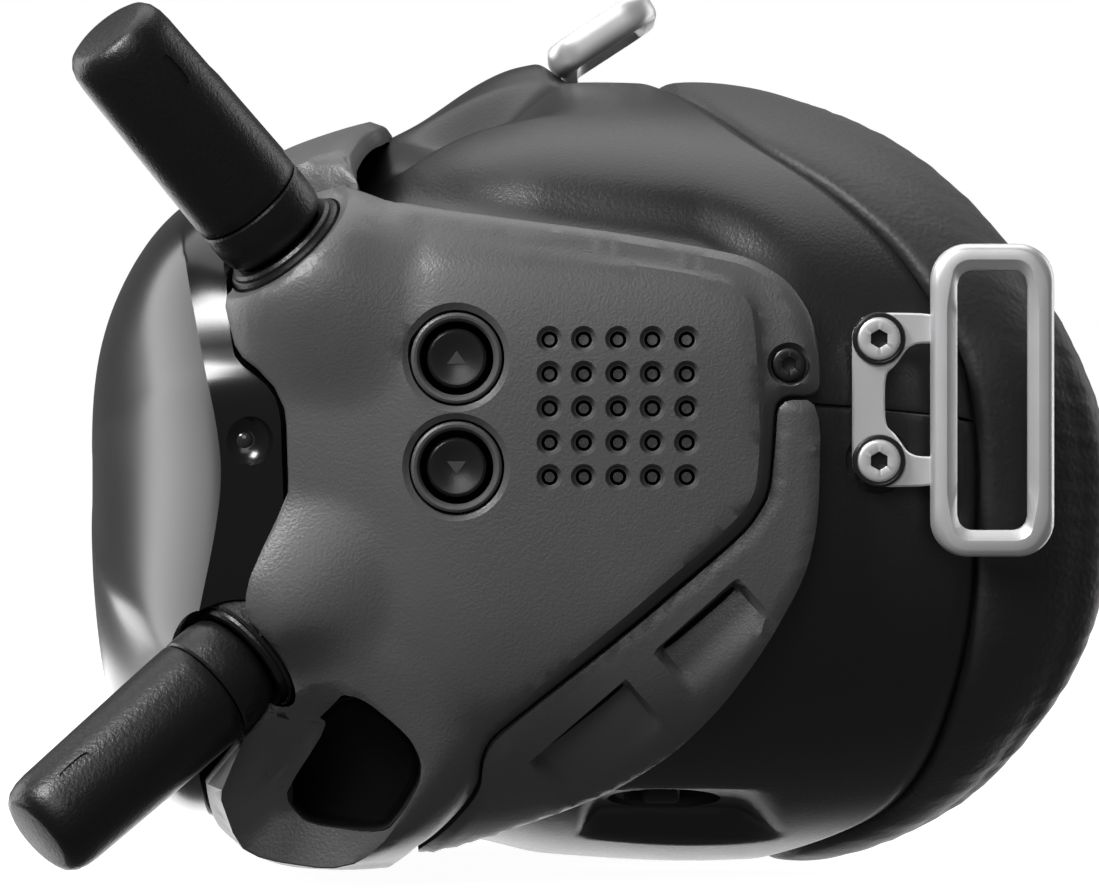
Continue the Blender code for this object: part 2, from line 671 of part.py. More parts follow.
def make_side_strap(side, name):
    cx, cy, cz = LOOP_CENTRE

    def to_space(a, b, c):
        return (side * (cx + c), cy + a, cz + b)

    def plate_space(a, b, c):
        return (side * (BRACKET_X + c), a, b)

    loop = add_piece(f"strap_loop_{name}", loop_mesh(to_space), "satin_steel")
    y0, (z_high, z_low) = STRAP_SCREW_Y, STRAP_SCREW_Z
    eye = 3.5
    end = cy - LOOP_SIZE[0] / 2 + LOOP_BAR * 0.6
    outline = [(y0 - 3.5, z_high - 1.5), (y0 - 3.5, z_high + 1.2), (y0 - 1.6, z_high + eye), (end, z_high + eye - 0.2),
               (end, z_high - 0.6), (y0 + 4.2, z_high - 0.6), (y0 + 2.2, z_high - eye), (y0 + 0.8, z_high - eye - 1.2),
               (y0 + 0.8, z_low + eye + 1.2), (y0 + 2.2, z_low + eye), (y0 + 4.2, z_low + 0.6), (end, z_low + 0.6),
               (end, z_low - eye + 0.2), (y0 - 1.6, z_low - eye), (y0 - 3.5, z_low - 1.2), (y0 - 3.5, z_low + 1.5)]
    plate = add_piece(f"strap_plate_{name}", extruded(outline, BRACKET_THICK, plate_space), "satin_steel")
    plate.hide_render = True
    plate.display_type = "WIRE"
    add_modifier(loop, "BOOLEAN", operation="UNION", object=plate, solver="EXACT")
    for label, z in (("upper", z_high), ("lower", z_low)):
        shank = add_piece(f"strap_hole_{label}_{name}", turned([(0, -5), (1.75, -5), (1.75, 5), (0, 5)], 12),
                          "satin_steel", (side * BRACKET_X, y0, z), outward(side))
        cut_away(loop, shank)
        place = (side * (BRACKET_X + BRACKET_THICK + GAP), y0, z)
        make_screw(f"strap_screw_{label}_{name}", STRAP_SCREW_R, STRAP_SCREW_HEAD, "satin_steel", place, side)


def make_top_strap():
    cx, cy, cz = TOP_LOOP_CENTRE
    ca, sa = math.cos(TOP_LOOP_TILT), math.sin(TOP_LOOP_TILT)

    def to_space(a, b, c):
        return (cx + b, cy + a * ca - c * sa, cz + a * sa + c * ca)

    loop = add_piece("strap_loop_top", loop_mesh(to_space), "satin_steel")
    top = CORE.point(TOP_NECK_Y, 90).z
    for number, x in enumerate((-8.0, 8.0)):
        neck = add_piece(f"top_neck_{number}", block((4.0, 2.6, 5.2), (x, TOP_NECK_Y, top + GAP + 2.6)), "satin_steel")
        neck.hide_render = True
        neck.display_type = "WIRE"
        add_modifier(loop, "BOOLEAN", operation="UNION", object=neck, solver="EXACT")


def backward():
    return axis_turn((0, 1, 0))


def make_optics():
    """Lens barrels, eye lenses, displays and the sliders that set the distance between the eyes."""
    barrel = [(BARREL_R - 1.8, -18), (BARREL_R, -18), (BARREL_R, 3), (BARREL_R + 2.2, 3), (BARREL_R + 2.2, 6),
              (BARREL_R - 1.8, 6)]
    lens = [(0, -3.5), (8, -3.0), (LENS_R, -0.8), (LENS_R, 0.8), (8, 3.0), (0, 3.5)]
    for side, name in ((1, "left"), (-1, "right")):
        place = (side * EYE_X, FACE_PLATE_Y, EYE_Z)
        add_piece(f"lens_barrel_{name}", turned(barrel, 24), "soft_black", place, backward())
        add_piece(f"eye_lens_{name}", turned(lens, 20), "lens_glass", place, backward())
        add_piece(f"display_{name}", block((30, 1.6, 22), (side * EYE_X, -13.0, EYE_Z)), "display_glass")


def make_ipd_knobs(lower_shell):
    """Small sliders in round openings under the lower rear shell, one for each lens barrel."""
    x, y, z = IPD_KNOB
    for side, name in ((1, "left"), (-1, "right")):
        add_piece(f"ipd_knob_{name}", block((6, 5, 5), (side * x, y, z)), "soft_black")
        opening = turned([(0, -14), (IPD_OPENING_R, -14), (IPD_OPENING_R, 8), (0, 8)], 16)
        cut_away(lower_shell, add_piece(f"ipd_opening_{name}", opening, "soft_black", (side * x, y, z)))


def make_ports():
    """A tray behind each port opening, with the sockets standing on its floor."""
    for side, name in ((1, "left"), (-1, "right")):
        tray = block((8, 21, 14), (side * 63, -26.0, -42.0))
        add_piece(f"port_tray_{name}", tray, "soft_black")


def make_electronics():
    add_piece("main_board", block((96, 1.6, 52), (0, -30, -6)), "board_green")
    frame = add_piece("fan_frame", block((7, 30, 30), (64, -12, 4)), "soft_black")
    bore = add_piece("fan_bore", turned([(0, -8), (13.5, -8), (13.5, 8), (0, 8)], 20), "soft_black", (64, -12, 4),
                     outward(1))
    cut_away(frame, bore)
    rotor = [(0, -2.6), (12.4, -2.6), (12.4, -1.8), (5.0, -1.8), (5.0, 2.6), (0, 2.6)]
    add_piece("fan_rotor", turned(rotor, 16), "soft_black", (64, -12, 4), outward(1))


def make_everything():
    clear_scene()
    datum = bpy.data.objects.new("datum", None)
    bpy.context.scene.collection.objects.link(datum)
    datum.location = Vector(DATUM) * MM
    cutters = [make_antenna(corner, side) for corner in ANTENNAS for side in (1, -1)]
    cover = make_front_cover()
    cut_away(cover, *cutters)
    make_main_shell(cutters)
    for side, name in ((1, "left"), (-1, "right")):
        make_trim(side, f"lower_trim_{name}")
        make_side_strap(side, name)
        y, z = SHELL_SCREW
        make_screw(f"shell_screw_{name}", SHELL_SCREW_R, 1.4, "dark_steel", (side * (side_x(y, z) - 1.4), y, z), side)
    make_top_strap()
    lower_shell = make_rear_shells()
    make_face_plate()
    make_face_foam()
    make_buttons()
    make_right_controls()
    make_vent_grille()
    make_optics()
    make_ipd_knobs(lower_shell)
    make_ports()
    make_electronics()
    bpy.context.view_layer.update()


make_everything()
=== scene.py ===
"""Looks of a pair of box goggles for flying model aircraft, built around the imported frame."""
import math

import bmesh
import bpy
import numpy as np
from mathutils import Matrix, Vector, geometry, kdtree


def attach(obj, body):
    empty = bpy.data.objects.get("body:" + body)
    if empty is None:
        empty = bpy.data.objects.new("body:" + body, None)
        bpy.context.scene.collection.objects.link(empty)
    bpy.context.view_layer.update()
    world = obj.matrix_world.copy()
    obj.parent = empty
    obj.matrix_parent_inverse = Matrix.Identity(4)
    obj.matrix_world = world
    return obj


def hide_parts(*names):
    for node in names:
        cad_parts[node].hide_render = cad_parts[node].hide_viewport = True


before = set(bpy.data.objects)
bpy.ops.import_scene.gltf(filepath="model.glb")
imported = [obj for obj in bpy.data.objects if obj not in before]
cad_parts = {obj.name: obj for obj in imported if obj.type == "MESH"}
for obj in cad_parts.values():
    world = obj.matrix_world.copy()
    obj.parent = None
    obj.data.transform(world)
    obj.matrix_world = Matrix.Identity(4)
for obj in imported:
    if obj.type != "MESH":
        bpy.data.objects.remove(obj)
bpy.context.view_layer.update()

MM = 0.001
# the body is drawn in millimetres around the middle of its optical axis
DATUM = np.array((0.0, -1.8, 58.58))

# cross-sections as (y, half width, top, bottom)
OUTER_STATIONS = [(-50, 78.0, 30.0, -47.0), (-44, 83.0, 35.5, -54.0), (-38, 86.5, 40.0, -57.6),
                  (-30, 89.0, 43.2, -58.6), (-22, 90.5, 45.2, -58.3), (-10, 91.8, 46.5, -57.0),
                  (6, 92.0, 46.0, -54.5), (20, 91.8, 44.5, -52.0), (36, 91.0, 42.0, -49.0)]
OUTER_POWER = 4.0
CORE_STATIONS = [(-27, 83.0, 40.6, -52.6), (-19, 85.0, 44.4, -53.6), (-10, 86.4, 48.2, -55.0),
                 (0, 87.0, 50.5, -57.2), (20, 87.5, 50.0, -58.6), (42, 85.0, 46.5, -57.0),
                 (56, 82.0, 42.0, -54.0), (66, 78.0, 36.5, -50.0), (78, 72.0, 30.0, -45.0)]
CORE_POWER = 2.8
NOSE = {"height": 21.0, "width": 15.0, "start": -4.0, "full": 22.0}

WALL = 3.2
COVER_WALL = 2.0
LINE_GAP = 0.28
COVER_POLE = (-64.0, -4.0)
SEAM_Z = 6.2
FOAM_DEPTH = 12.0

# edges round the body as (angle, y)
COVER_EDGE = [(-90, -45), (-60, -46), (-28, -45.5), (-19, -37), (-8, -35), (8, -35), (17, -36),
              (25, -41.5), (60, -43), (90, -44)]
CORE_FRONT = [(-90, -25), (-66, -22), (-50, -11), (-24, -4), (20, -4), (28, -26), (90, -27)]
FOAM_SEAM = [(-90, 24), (-67, 32), (-51, 47), (-30, 54.5), (-9, 56.8), (18, 55.5), (33, 47.8),
             (41, 40), (52, 27), (70, 17), (90, 14.5)]
FOAM_RIM = [(-90, 40), (-75, 45), (-62, 54), (-50, 63.5), (-35, 72), (-20, 76), (0, 77.3),
            (14, 76.5), (28, 73), (40, 67), (55, 55), (70, 43), (90, 38)]

# lines on the left side wall as (y, z)
RIDGE = [(35.7, SEAM_Z + LINE_GAP), (35.6, 12.0), (34.6, 17.5), (31.5, 22.3), (26.5, 25.4), (20.0, 26.8),
         (-9.2, 31.0), (-24.0, 33.3), (-26.9, 34.4), (-27.4, 37.0), (-26.4, 40.6), (-24.5, 43.4)]
TRIM_LINE = [(30.0, SEAM_Z), (29.6, 0.0), (29.0, -6.5), (26.5, -10.6), (22.9, -14.0), (10.1, -25.0),
             (-7.0, -38.7), (-8.8, -41.9), (-9.2, -46.4), (-13.9, -52.0), (-18.5, -55.4)]
TRIM_EDGE = [(-14.5, -55.0), (-6.7, -52.6), (7.5, -47.2), (16.4, -41.4), (22.8, -34.8), (28.5, -26.8),
             (33.7, -17.3), (35.4, -9.9), (35.7, SEAM_Z - LINE_GAP)]
PORT_OPENING = [(-28.3, -33.9), (-25.0, -33.2), (-18.6, -38.4), (-17.0, -41.8), (-17.2, -44.5),
                (-19.4, -48.4), (-22.0, -51.4), (-32.0, -50.2), (-34.3, -47.8), (-36.5, -43.2),
                (-36.4, -41.5), (-33.2, -38.6)]
PORT_LIP = [(-44.4, -44.4), (-43.6, -42.2), (-40.5, -38.8), (-32.1, -31.5), (-27.9, -31.2),
            (-23.8, -33.0), (-16.6, -40.6), (-16.4, -43.6), (-21.0, -51.5), (-25.1, -55.2),
            (-29.4, -56.2), (-37.7, -55.0), (-41.3, -53.2)]
# a point on each slot's straight edge, the edge's direction and length, and the scoop's width
TRIM_SLOTS = [((19.1, -22.3), (0.748, 0.664), 15.0, 7.4), ((3.6, -36.4), (0.752, 0.659), 17.2, 8.2)]
PLATEAU = [(-18.6, 24.0), (-16.0, 27.0), (22.0, 22.4), (26.8, 19.0), (27.6, 12.0), (28.2, -5.5),
           (25.4, -9.6), (9.0, -24.0), (-6.0, -36.8), (-12.0, -34.0), (-18.6, -14.0)]

BUTTON_Y = -12.2
BUTTON_Z = {"up": 11.4, "down": -2.9}
VENT_CENTRE = (9.0, 4.8)
VENT_PITCH = 4.5
VENT_COUNT = 5
SHELL_SCREW = (31.5, 10.6)
JOYSTICK = (-12.2, 6.0)
KEYS = {"back_button": (2.0, 12.0), "record_button": (2.0, 0.0)}
ANTENNAS = {"upper": ((80.0, -35.0, 26.5), (0.358, -0.597, 0.719)),
            "lower": ((80.0, -40.0, -27.5), (0.358, -0.700, -0.616))}
ANTENNA_TIP = 38.6
SHELL_HOLE_R = 9.1
COVER_HOLE_R = 9.0
# hole radius, foot and outer edge of the sink round a shell screw, an air hole and a channel key's bezel
SCREW_SINK = (2.35, 2.5, 2.9)
VENT_SINK = (1.1, 1.25, 1.72)
BEZEL_SINK = (6.3, 6.5, 7.1)
KEY_HOLE_R = 3.7
STRAP_HEAD = (2.82, 1.2)
SHELL_HEAD = (2.2, 1.2)
SIDES = ((1, "left"), (-1, "right"))


# ---------------------------------------------------------------- shapes

def smooth_step(t):
    t = np.clip(t, 0.0, 1.0)
    return t * t * (3.0 - 2.0 * t)


def through(rows, x):
    """Smooth curve through rows of (x, value, ...), for an array of x."""
    rows = np.asarray(rows, float)
    knots, values = rows[:, 0], rows[:, 1:]
    x = np.clip(np.asarray(x, float), knots[0], knots[-1])
    k = np.clip(np.searchsorted(knots, x, side="right") - 1, 0, len(knots) - 2)
    after = np.minimum(np.arange(len(knots)) + 1, len(knots) - 1)
    before = np.maximum(np.arange(len(knots)) - 1, 0)
    slopes = (values[after] - values[before]) / (knots[after] - knots[before])[:, None]
    width = knots[k + 1] - knots[k]
    t = ((x - knots[k]) / width)[..., None]
    m0, m1 = slopes[k] * width[..., None], slopes[k + 1] * width[..., None]
    return ((2 * t**3 - 3 * t**2 + 1) * values[k] + (t**3 - 2 * t**2 + t) * m0
            + (3 * t**2 - 2 * t**3) * values[k + 1] + (t**3 - t**2) * m1)


class Skin:
    """A form of rounded cross-sections along y; v is the angle round it, 0 at the side, 90 on top."""

    def __init__(self, stations, power, has_nose=False, relief=None):
        self.stations, self.power, self.has_nose, self.relief = stations, power, has_nose, relief

    def bare(self, y, v):
        y, v = np.broadcast_arrays(np.asarray(y, float), np.asarray(v, float))
        half, top, bottom = np.moveaxis(through(self.stations, y), -1, 0)
        c, s = np.cos(np.radians(v)), np.sin(np.radians(v))
        r = (np.abs(c) ** self.power + np.abs(s) ** self.power) ** (-1 / self.power)
        x = half * r * c
        z = (top + bottom) / 2 + (top - bottom) / 2 * r * s
        if self.has_nose:
            rise = NOSE["height"] * smooth_step((y - NOSE["start"]) / (NOSE["full"] - NOSE["start"]))
            z = z + rise * np.exp(-(x / NOSE["width"]) ** 2) * smooth_step(-2 * s)
        if self.relief is not None:
            z = z + self.relief(x, y, s)
        return np.stack((x, y, z), -1)

    def point(self, y, v, out=0.0):
        y, v = np.asarray(y, float), np.asarray(v, float)
        along_y = self.bare(y + 0.2, v) - self.bare(y - 0.2, v)
        along_v = self.bare(y, v + 0.5) - self.bare(y, v - 0.5)
        normal = np.cross(along_y, along_v)
        normal /= np.linalg.norm(normal, axis=-1, keepdims=True)
        moved = self.bare(y, v) + normal * np.asarray(out, float)[..., None]
        on_middle = np.abs(np.abs(v) - 90) < 1e-6
        moved[..., 0] = np.where(on_middle, 0.0, moved[..., 0])
        return moved

    def angle(self, y, z):
        _, top, bottom = np.moveaxis(through(self.stations, y), -1, 0)
        t = np.clip((np.asarray(z, float) - (top + bottom) / 2) / ((top - bottom) / 2), -0.9995, 0.9995)
        return np.degrees(np.arctan2(t, (1 - np.abs(t) ** self.power) ** (1 / self.power)))


def top_relief(x, y, s):
    """Raised wedge on the top middle with a scooped hollow either side of it."""
    ramp = np.interp(y, (-21.0, -4.6, -2.2, 3.2), (0.0, 1.0, 1.0, 0.0))
    ramp = ramp * ramp * (3 - 2 * ramp)
    across = np.abs(x)
    wedge = 3.0 * ramp * (1 - smooth_step((across - 12.0) / 12.0))
    along = np.sin(np.pi * np.clip((y + 25.0) / 29.0, 0, 1)) ** 2
    hollow = 6.4 * along * smooth_step((across - 20.0) / 9.0) * (1 - smooth_step((across - 51.0) / 4.5))
    return np.where(s > 0, wedge - hollow, 0.0)


OUTER = Skin(OUTER_STATIONS, OUTER_POWER)
CORE = Skin(CORE_STATIONS, CORE_POWER, True, top_relief)
PLAIN_CORE = Skin(CORE_STATIONS, CORE_POWER, True)


def folded(v):
    v = (np.asarray(v, float) + 180) % 360 - 180
    return np.where(v > 90, 180 - v, np.where(v < -90, -180 - v, v))


def curve_at(rows, v):
    return through(rows, folded(v))[..., 0]


def on_side(skin, line):
    line = np.asarray(line, float)
    return np.stack((line[:, 0], skin.angle(line[:, 0], line[:, 1])), -1)


def softened(line, rounds=3, closed=False):
    """Corner cutting: turns a few points into a smooth line with rounded corners."""
    line = np.asarray(line, float)
    for _ in range(rounds):
        following = np.roll(line, -1, axis=0)
        near, far = 0.8 * line + 0.2 * following, 0.2 * line + 0.8 * following
        cut = np.stack((near, far), 1).reshape(-1, 2)
        line = cut if closed else np.vstack((line[:1], cut[1:-3], line[-1:]))
    return line


def divided(line, step, closed=False):
    ends = np.roll(line, -1, axis=0) if closed else line[1:]
    starts = line if closed else line[:-1]
    parts = []
    for a, b in zip(starts, ends):
        count = max(1, math.ceil(np.linalg.norm(b - a) / step))
        parts.append(a + (b - a) * (np.arange(count) / count)[:, None])
    if not closed:
        parts.append(line[-1:])
    return np.vstack(parts)


def shifted(line, distance, closed=False):
    """A line moved sideways, to its right when distance is positive."""
    if closed:
        along = np.roll(line, -1, axis=0) - np.roll(line, 1, axis=0)
    else:
        along = np.gradient(line, axis=0)
    along = along / np.linalg.norm(along, axis=1, keepdims=True)
    return line + np.stack((along[:, 1], -along[:, 0]), -1) * distance


def circle(centre, radius, count):
    angle = np.arange(count) * math.tau / count
    return np.stack((centre[0] + radius * np.cos(angle), centre[1] + radius * np.sin(angle)), -1)


def is_inside(points, loop):
    """Which points lie inside a closed loop."""
    x, y = points[:, 0], points[:, 1]
    hit = np.zeros(len(points), bool)
    for (ax, ay), (bx, by) in zip(loop, np.roll(loop, -1, axis=0)):
        if ay != by:
            hit ^= ((ay > y) != (by > y)) & (x < (bx - ax) * (y - ay) / (by - ay) + ax)
    return hit


def distance_to(points, line, closed=False):
    """Each point's distance from the nearest part of a line."""
    ends = np.roll(line, -1, axis=0) if closed else line[1:]
    starts = line if closed else line[:-1]
    best = np.full(len(points), 1e9)
    for a, b in zip(starts, ends):
        d = b - a
        t = np.clip(((points - a) @ d) / max(d @ d, 1e-12), 0, 1)
        best = np.minimum(best, np.linalg.norm(points - a - t[:, None] * d, axis=1))
    return best


def flat_triangles(outline, holes, guides, step):
    """Triangles inside an outline with holes; guides are open or closed lines that the mesh follows."""
    coords, edges = [], []
    for loop, closed in [(outline, True)] + [(h, True) for h in holes] + guides:
        first = sum(len(c) for c in coords)
        coords.append(loop)
        count = len(loop)
        edges += [(first + i, first + (i + 1) % count) for i in range(count if closed else count - 1)]
    fixed = np.vstack(coords)
    low, high = outline.min(0), outline.max(0)
    rows = int((high[1] - low[1]) / (step * 0.87))
    grid = []
    for j in range(1, rows + 1):
        b = low[1] + j * (high[1] - low[1]) / (rows + 1)
        a = np.arange(low[0] + (0.5 if j % 2 else 1.0) * step, high[0], step)
        grid.append(np.stack((a, np.full_like(a, b)), -1))
    grid = np.vstack(grid)
    keep = is_inside(grid, outline)
    for hole in holes:
        keep &= ~is_inside(grid, hole)
    grid = grid[keep]
    nearest = np.array([np.min(np.sum((fixed - p) ** 2, axis=1)) for p in grid])
    grid = grid[nearest > (0.55 * step) ** 2]
    everything = np.vstack((fixed, grid))
    points, _, faces, *_ = geometry.delaunay_2d_cdt([Vector(p) for p in everything], edges, [], 0, 1e-5)
    points = np.array([tuple(p) for p in points])
    faces = np.array([f[:] for f in faces])
    a, b, c = points[faces[:, 0]], points[faces[:, 1]], points[faces[:, 2]]
    area = np.abs((b - a)[:, 0] * (c - a)[:, 1] - (b - a)[:, 1] * (c - a)[:, 0])
    centres = (a + b + c) / 3
    keep = is_inside(centres, outline) & (area > 1e-4)
    for hole in holes:
        keep &= ~is_inside(centres, hole)
    return points, faces[keep]


def new_piece(name, verts, faces, material, sharp=32.0):
    """One finished mesh from points in millimetres around the datum."""
    data = bpy.data.meshes.new(name)
    data.from_pydata(((np.asarray(verts) + DATUM) * MM).tolist(), [], [list(map(int, f)) for f in faces])
    data.validate()
    data.shade_smooth()
    data.set_sharp_from_angle(angle=math.radians(sharp))
    data.materials.append(material)
    obj = bpy.data.objects.new(name, data)
    bpy.context.scene.collection.objects.link(obj)
    return obj


def tidy_mesh(obj, sharp=32.0, merge=1e-6):
    mesh = bmesh.new()
    mesh.from_mesh(obj.data)
    bmesh.ops.remove_doubles(mesh, verts=mesh.verts, dist=merge)
    loose = [v for v in mesh.verts if not v.link_faces]
    bmesh.ops.delete(mesh, geom=loose, context="VERTS")
    bmesh.ops.recalc_face_normals(mesh, faces=mesh.faces)
    mesh.to_mesh(obj.data)
    mesh.free()
    obj.data.shade_smooth()
    obj.data.set_sharp_from_angle(angle=math.radians(sharp))
    return obj


def apply_modifiers(obj):
    """Turn an object's modifiers into plain mesh."""
    depsgraph = bpy.context.evaluated_depsgraph_get()
    data = bpy.data.meshes.new_from_object(obj.evaluated_get(depsgraph))
    old = obj.data
    obj.modifiers.clear()
    obj.data = data
    bpy.data.meshes.remove(old)
    return obj


def cut(obj, *cutters):
    for cutter in cutters:
        modifier = obj.modifiers.new("cut", "BOOLEAN")
        modifier.operation = "DIFFERENCE"
        modifier.object = cutter
        modifier.solver = "EXACT"
    apply_modifiers(obj)
    for cutter in cutters:
        bpy.data.objects.remove(cutter)
    return obj


def open_edges(triangles):
    """Edges that only one triangle of a sheet has, in that triangle's direction."""
    sides = {(f[i], f[(i + 1) % 3]) for f in triangles.tolist() for i in range(3)}
    return [(a, b) for a, b in sides if (b, a) not in sides]


def panel_mesh(skin, outline, holes, guides, lift, wall, step, side=1, reshape=None):
    """Points and faces of a curved wall; sides that lie on the middle plane stay open."""
    flat, faces = flat_triangles(outline, holes, guides, step)
    y, v = flat[:, 0], flat[:, 1]
    outer = skin.point(y, v, lift(flat))
    inner = skin.point(y, v, np.full(len(y), -wall))
    if reshape is not None:
        moved = reshape(outer)
        shift = moved - outer
        straight = smooth_step(np.abs(shift[:, 0]) / 1.2)[:, None]
        inner = (inner + shift * 0.92) * (1 - straight) + (moved - np.array((wall, 0, 0))) * straight
        outer = moved
    flip = np.array((side, 1, 1))
    count = len(flat)
    verts = np.vstack((outer, inner)) * flip
    turned = faces[:, ::side]
    result = [tuple(f) for f in turned] + [tuple(f[::-1] + count) for f in turned]
    on_middle = np.abs(np.abs(v) - 90) < 1e-6
    for a, b in open_edges(turned):
        if not (on_middle[a] and on_middle[b]):
            result.append((b, a, a + count, b + count))
    return verts, result


def joined(parts):
    verts, faces, total = [], [], 0
    for v, f in parts:
        verts.append(v)
        faces += [tuple(i + total for i in face) for face in f]
        total += len(v)
    return np.vstack(verts), faces


def axis_matrix(base, direction):
    turn = Vector(direction).to_track_quat("Z", "Y").to_matrix().to_4x4()
    return Matrix.Translation(Vector(base)) @ turn


def turned_mesh(profile, segments, matrix, rounds=0):
    """Solid of revolution from (radius, height) points that start and end on the axis, or a closed ring."""
    profile = np.asarray(profile, float)
    is_ring = profile[0, 0] > 0
    if rounds:
        profile = softened(profile, rounds, closed=is_ring)
    count = len(profile)
    angle = np.arange(segments) * math.tau / segments
    rings = [(r * np.cos(angle), r * np.sin(angle), np.full(segments, z)) for r, z in profile]
    verts = np.stack([np.stack(ring, -1) for ring in rings]).reshape(-1, 3)
    faces = []
    for k in range(count if is_ring else count - 1):
        n = (k + 1) % count
        for i in range(segments):
            j = (i + 1) % segments
            faces.append((k * segments + i, k * segments + j, n * segments + j, n * segments + i))
    world = np.array(matrix)
    return verts @ world[:3, :3].T + world[:3, 3], faces


def turned_piece(name, profile, segments, base, direction, material, rounds=0, sharp=32.0):
    verts, faces = turned_mesh(profile, segments, axis_matrix(base, direction), rounds)
    return tidy_mesh(new_piece(name, verts, faces, material, sharp), sharp, 2e-6)


def grid_faces(rows, columns, close_rows=False, close_columns=False):
    faces = []
    for i in range(rows if close_rows else rows - 1):
        n = (i + 1) % rows
        for j in range(columns if close_columns else columns - 1):
            m = (j + 1) % columns
            faces.append((i * columns + j, i * columns + m, n * columns + m, n * columns + j))
    return faces


def settle(piece, body, *nodes, slot=None):
    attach(piece, body)
    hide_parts(*nodes)
    return piece


# ---------------------------------------------------------------- materials

GRAIN_DEPTH = 0.0002


def new_group(name, inputs, outputs):
    group = bpy.data.node_groups.new(name, "ShaderNodeTree")
    for label, kind, value in inputs:
        socket = group.interface.new_socket(label, in_out="INPUT", socket_type=kind)
        socket.default_value = value
    for label, kind in outputs:
        group.interface.new_socket(label, in_out="OUTPUT", socket_type=kind)
    return group, group.nodes.new("NodeGroupInput"), group.nodes.new("NodeGroupOutput")


def math_node(group, operation, a, b):
    node = group.nodes.new("ShaderNodeMath")
    node.operation = operation
    for socket, value in zip(node.inputs, (a, b)):
        if isinstance(value, (int, float)):
            socket.default_value = value
        else:
            group.links.new(value, socket)
    return node.outputs[0]


def noise(group, scale, vector, detail=3.0, roughness=0.6):
    node = group.nodes.new("ShaderNodeTexNoise")
    node.inputs["Detail"].default_value = detail
    node.inputs["Roughness"].default_value = roughness
    if isinstance(scale, (int, float)):
        node.inputs["Scale"].default_value = scale
    else:
        group.links.new(scale, node.inputs["Scale"])
    group.links.new(vector, node.inputs["Vector"])
    return node.outputs["Fac"]


def add_relief_and_tone(group, start, end, strength, height, tone):
    """Feeds a height to the group's normal and multiplies its colour by a tone."""
    bump = group.nodes.new("ShaderNodeBump")
    bump.inputs["Distance"].default_value = GRAIN_DEPTH
    group.links.new(start.outputs[strength], bump.inputs["Strength"])
    group.links.new(height, bump.inputs["Height"])
    group.links.new(bump.outputs["Normal"], end.inputs["Normal"])
    scale = group.nodes.new("ShaderNodeVectorMath")
    scale.operation = "SCALE"
    group.links.new(start.outputs["Color"], scale.inputs[0])
    group.links.new(tone, scale.inputs["Scale"])
    group.links.new(scale.outputs[0], end.inputs["Color"])


def moulded_grain_group():
    """Spark-eroded texture of moulded plastic: fine grain, uneven gloss and a faint mottle in the colour."""
    group, start, end = new_group(
        "moulded_grain",
        [("Color", "NodeSocketColor", (0.1, 0.1, 0.1, 1)), ("Grains per metre", "NodeSocketFloat", 2400.0),
         ("Grain height", "NodeSocketFloat", 0.3), ("Roughness", "NodeSocketFloat", 0.5),
         ("Unevenness", "NodeSocketFloat", 0.08)],
        [("Color", "NodeSocketColor"), ("Roughness", "NodeSocketFloat"), ("Normal", "NodeSocketVector")])
    place = group.nodes.new("ShaderNodeTexCoord").outputs["Object"]
    grain = noise(group, start.outputs["Grains per metre"], place, 2.0)
    wide = noise(group, 55.0, place, 4.0)
    around_zero = math_node(group, "SUBTRACT", math_node(group, "ADD", grain, wide), 1.0)
    spread = math_node(group, "MULTIPLY", around_zero, start.outputs["Unevenness"])
    group.links.new(math_node(group, "ADD", start.outputs["Roughness"], spread), end.inputs["Roughness"])
    tone = math_node(group, "ADD", math_node(group, "MULTIPLY", wide, 0.24), 0.88)
    add_relief_and_tone(group, start, end, "Grain height", grain, tone)
    return group


def leather_grain_group():
    """Pebbled grain of a soft synthetic leather, with creases between the pebbles."""
    group, start, end = new_group(
        "leather_grain",
        [("Color", "NodeSocketColor", (0.02, 0.02, 0.02, 1)), ("Pebbles per metre", "NodeSocketFloat", 900.0),
         ("Depth", "NodeSocketFloat", 0.5), ("Roughness", "NodeSocketFloat", 0.55)],
        [("Color", "NodeSocketColor"), ("Roughness", "NodeSocketFloat"), ("Normal", "NodeSocketVector")])
    place = group.nodes.new("ShaderNodeTexCoord").outputs["Object"]
    cells = group.nodes.new("ShaderNodeTexVoronoi")
    cells.feature = "SMOOTH_F1"
    group.links.new(place, cells.inputs["Vector"])
    group.links.new(start.outputs["Pebbles per metre"], cells.inputs["Scale"])
    pores = noise(group, 2600.0, place, 2.0)
    wide = noise(group, 40.0, place, 3.0)
    height = math_node(group, "ADD", math_node(group, "MULTIPLY", cells.outputs["Distance"], -1.0),
                       math_node(group, "MULTIPLY", pores, 0.4))
    group.links.new(math_node(group, "ADD", start.outputs["Roughness"],
                              math_node(group, "MULTIPLY", wide, 0.12)), end.inputs["Roughness"])
    tone = math_node(group, "ADD", math_node(group, "MULTIPLY", wide, 0.5), 0.75)
    add_relief_and_tone(group, start, end, "Depth", height, tone)
    return group


GROUPS = {"moulded": moulded_grain_group(), "leather": leather_grain_group()}


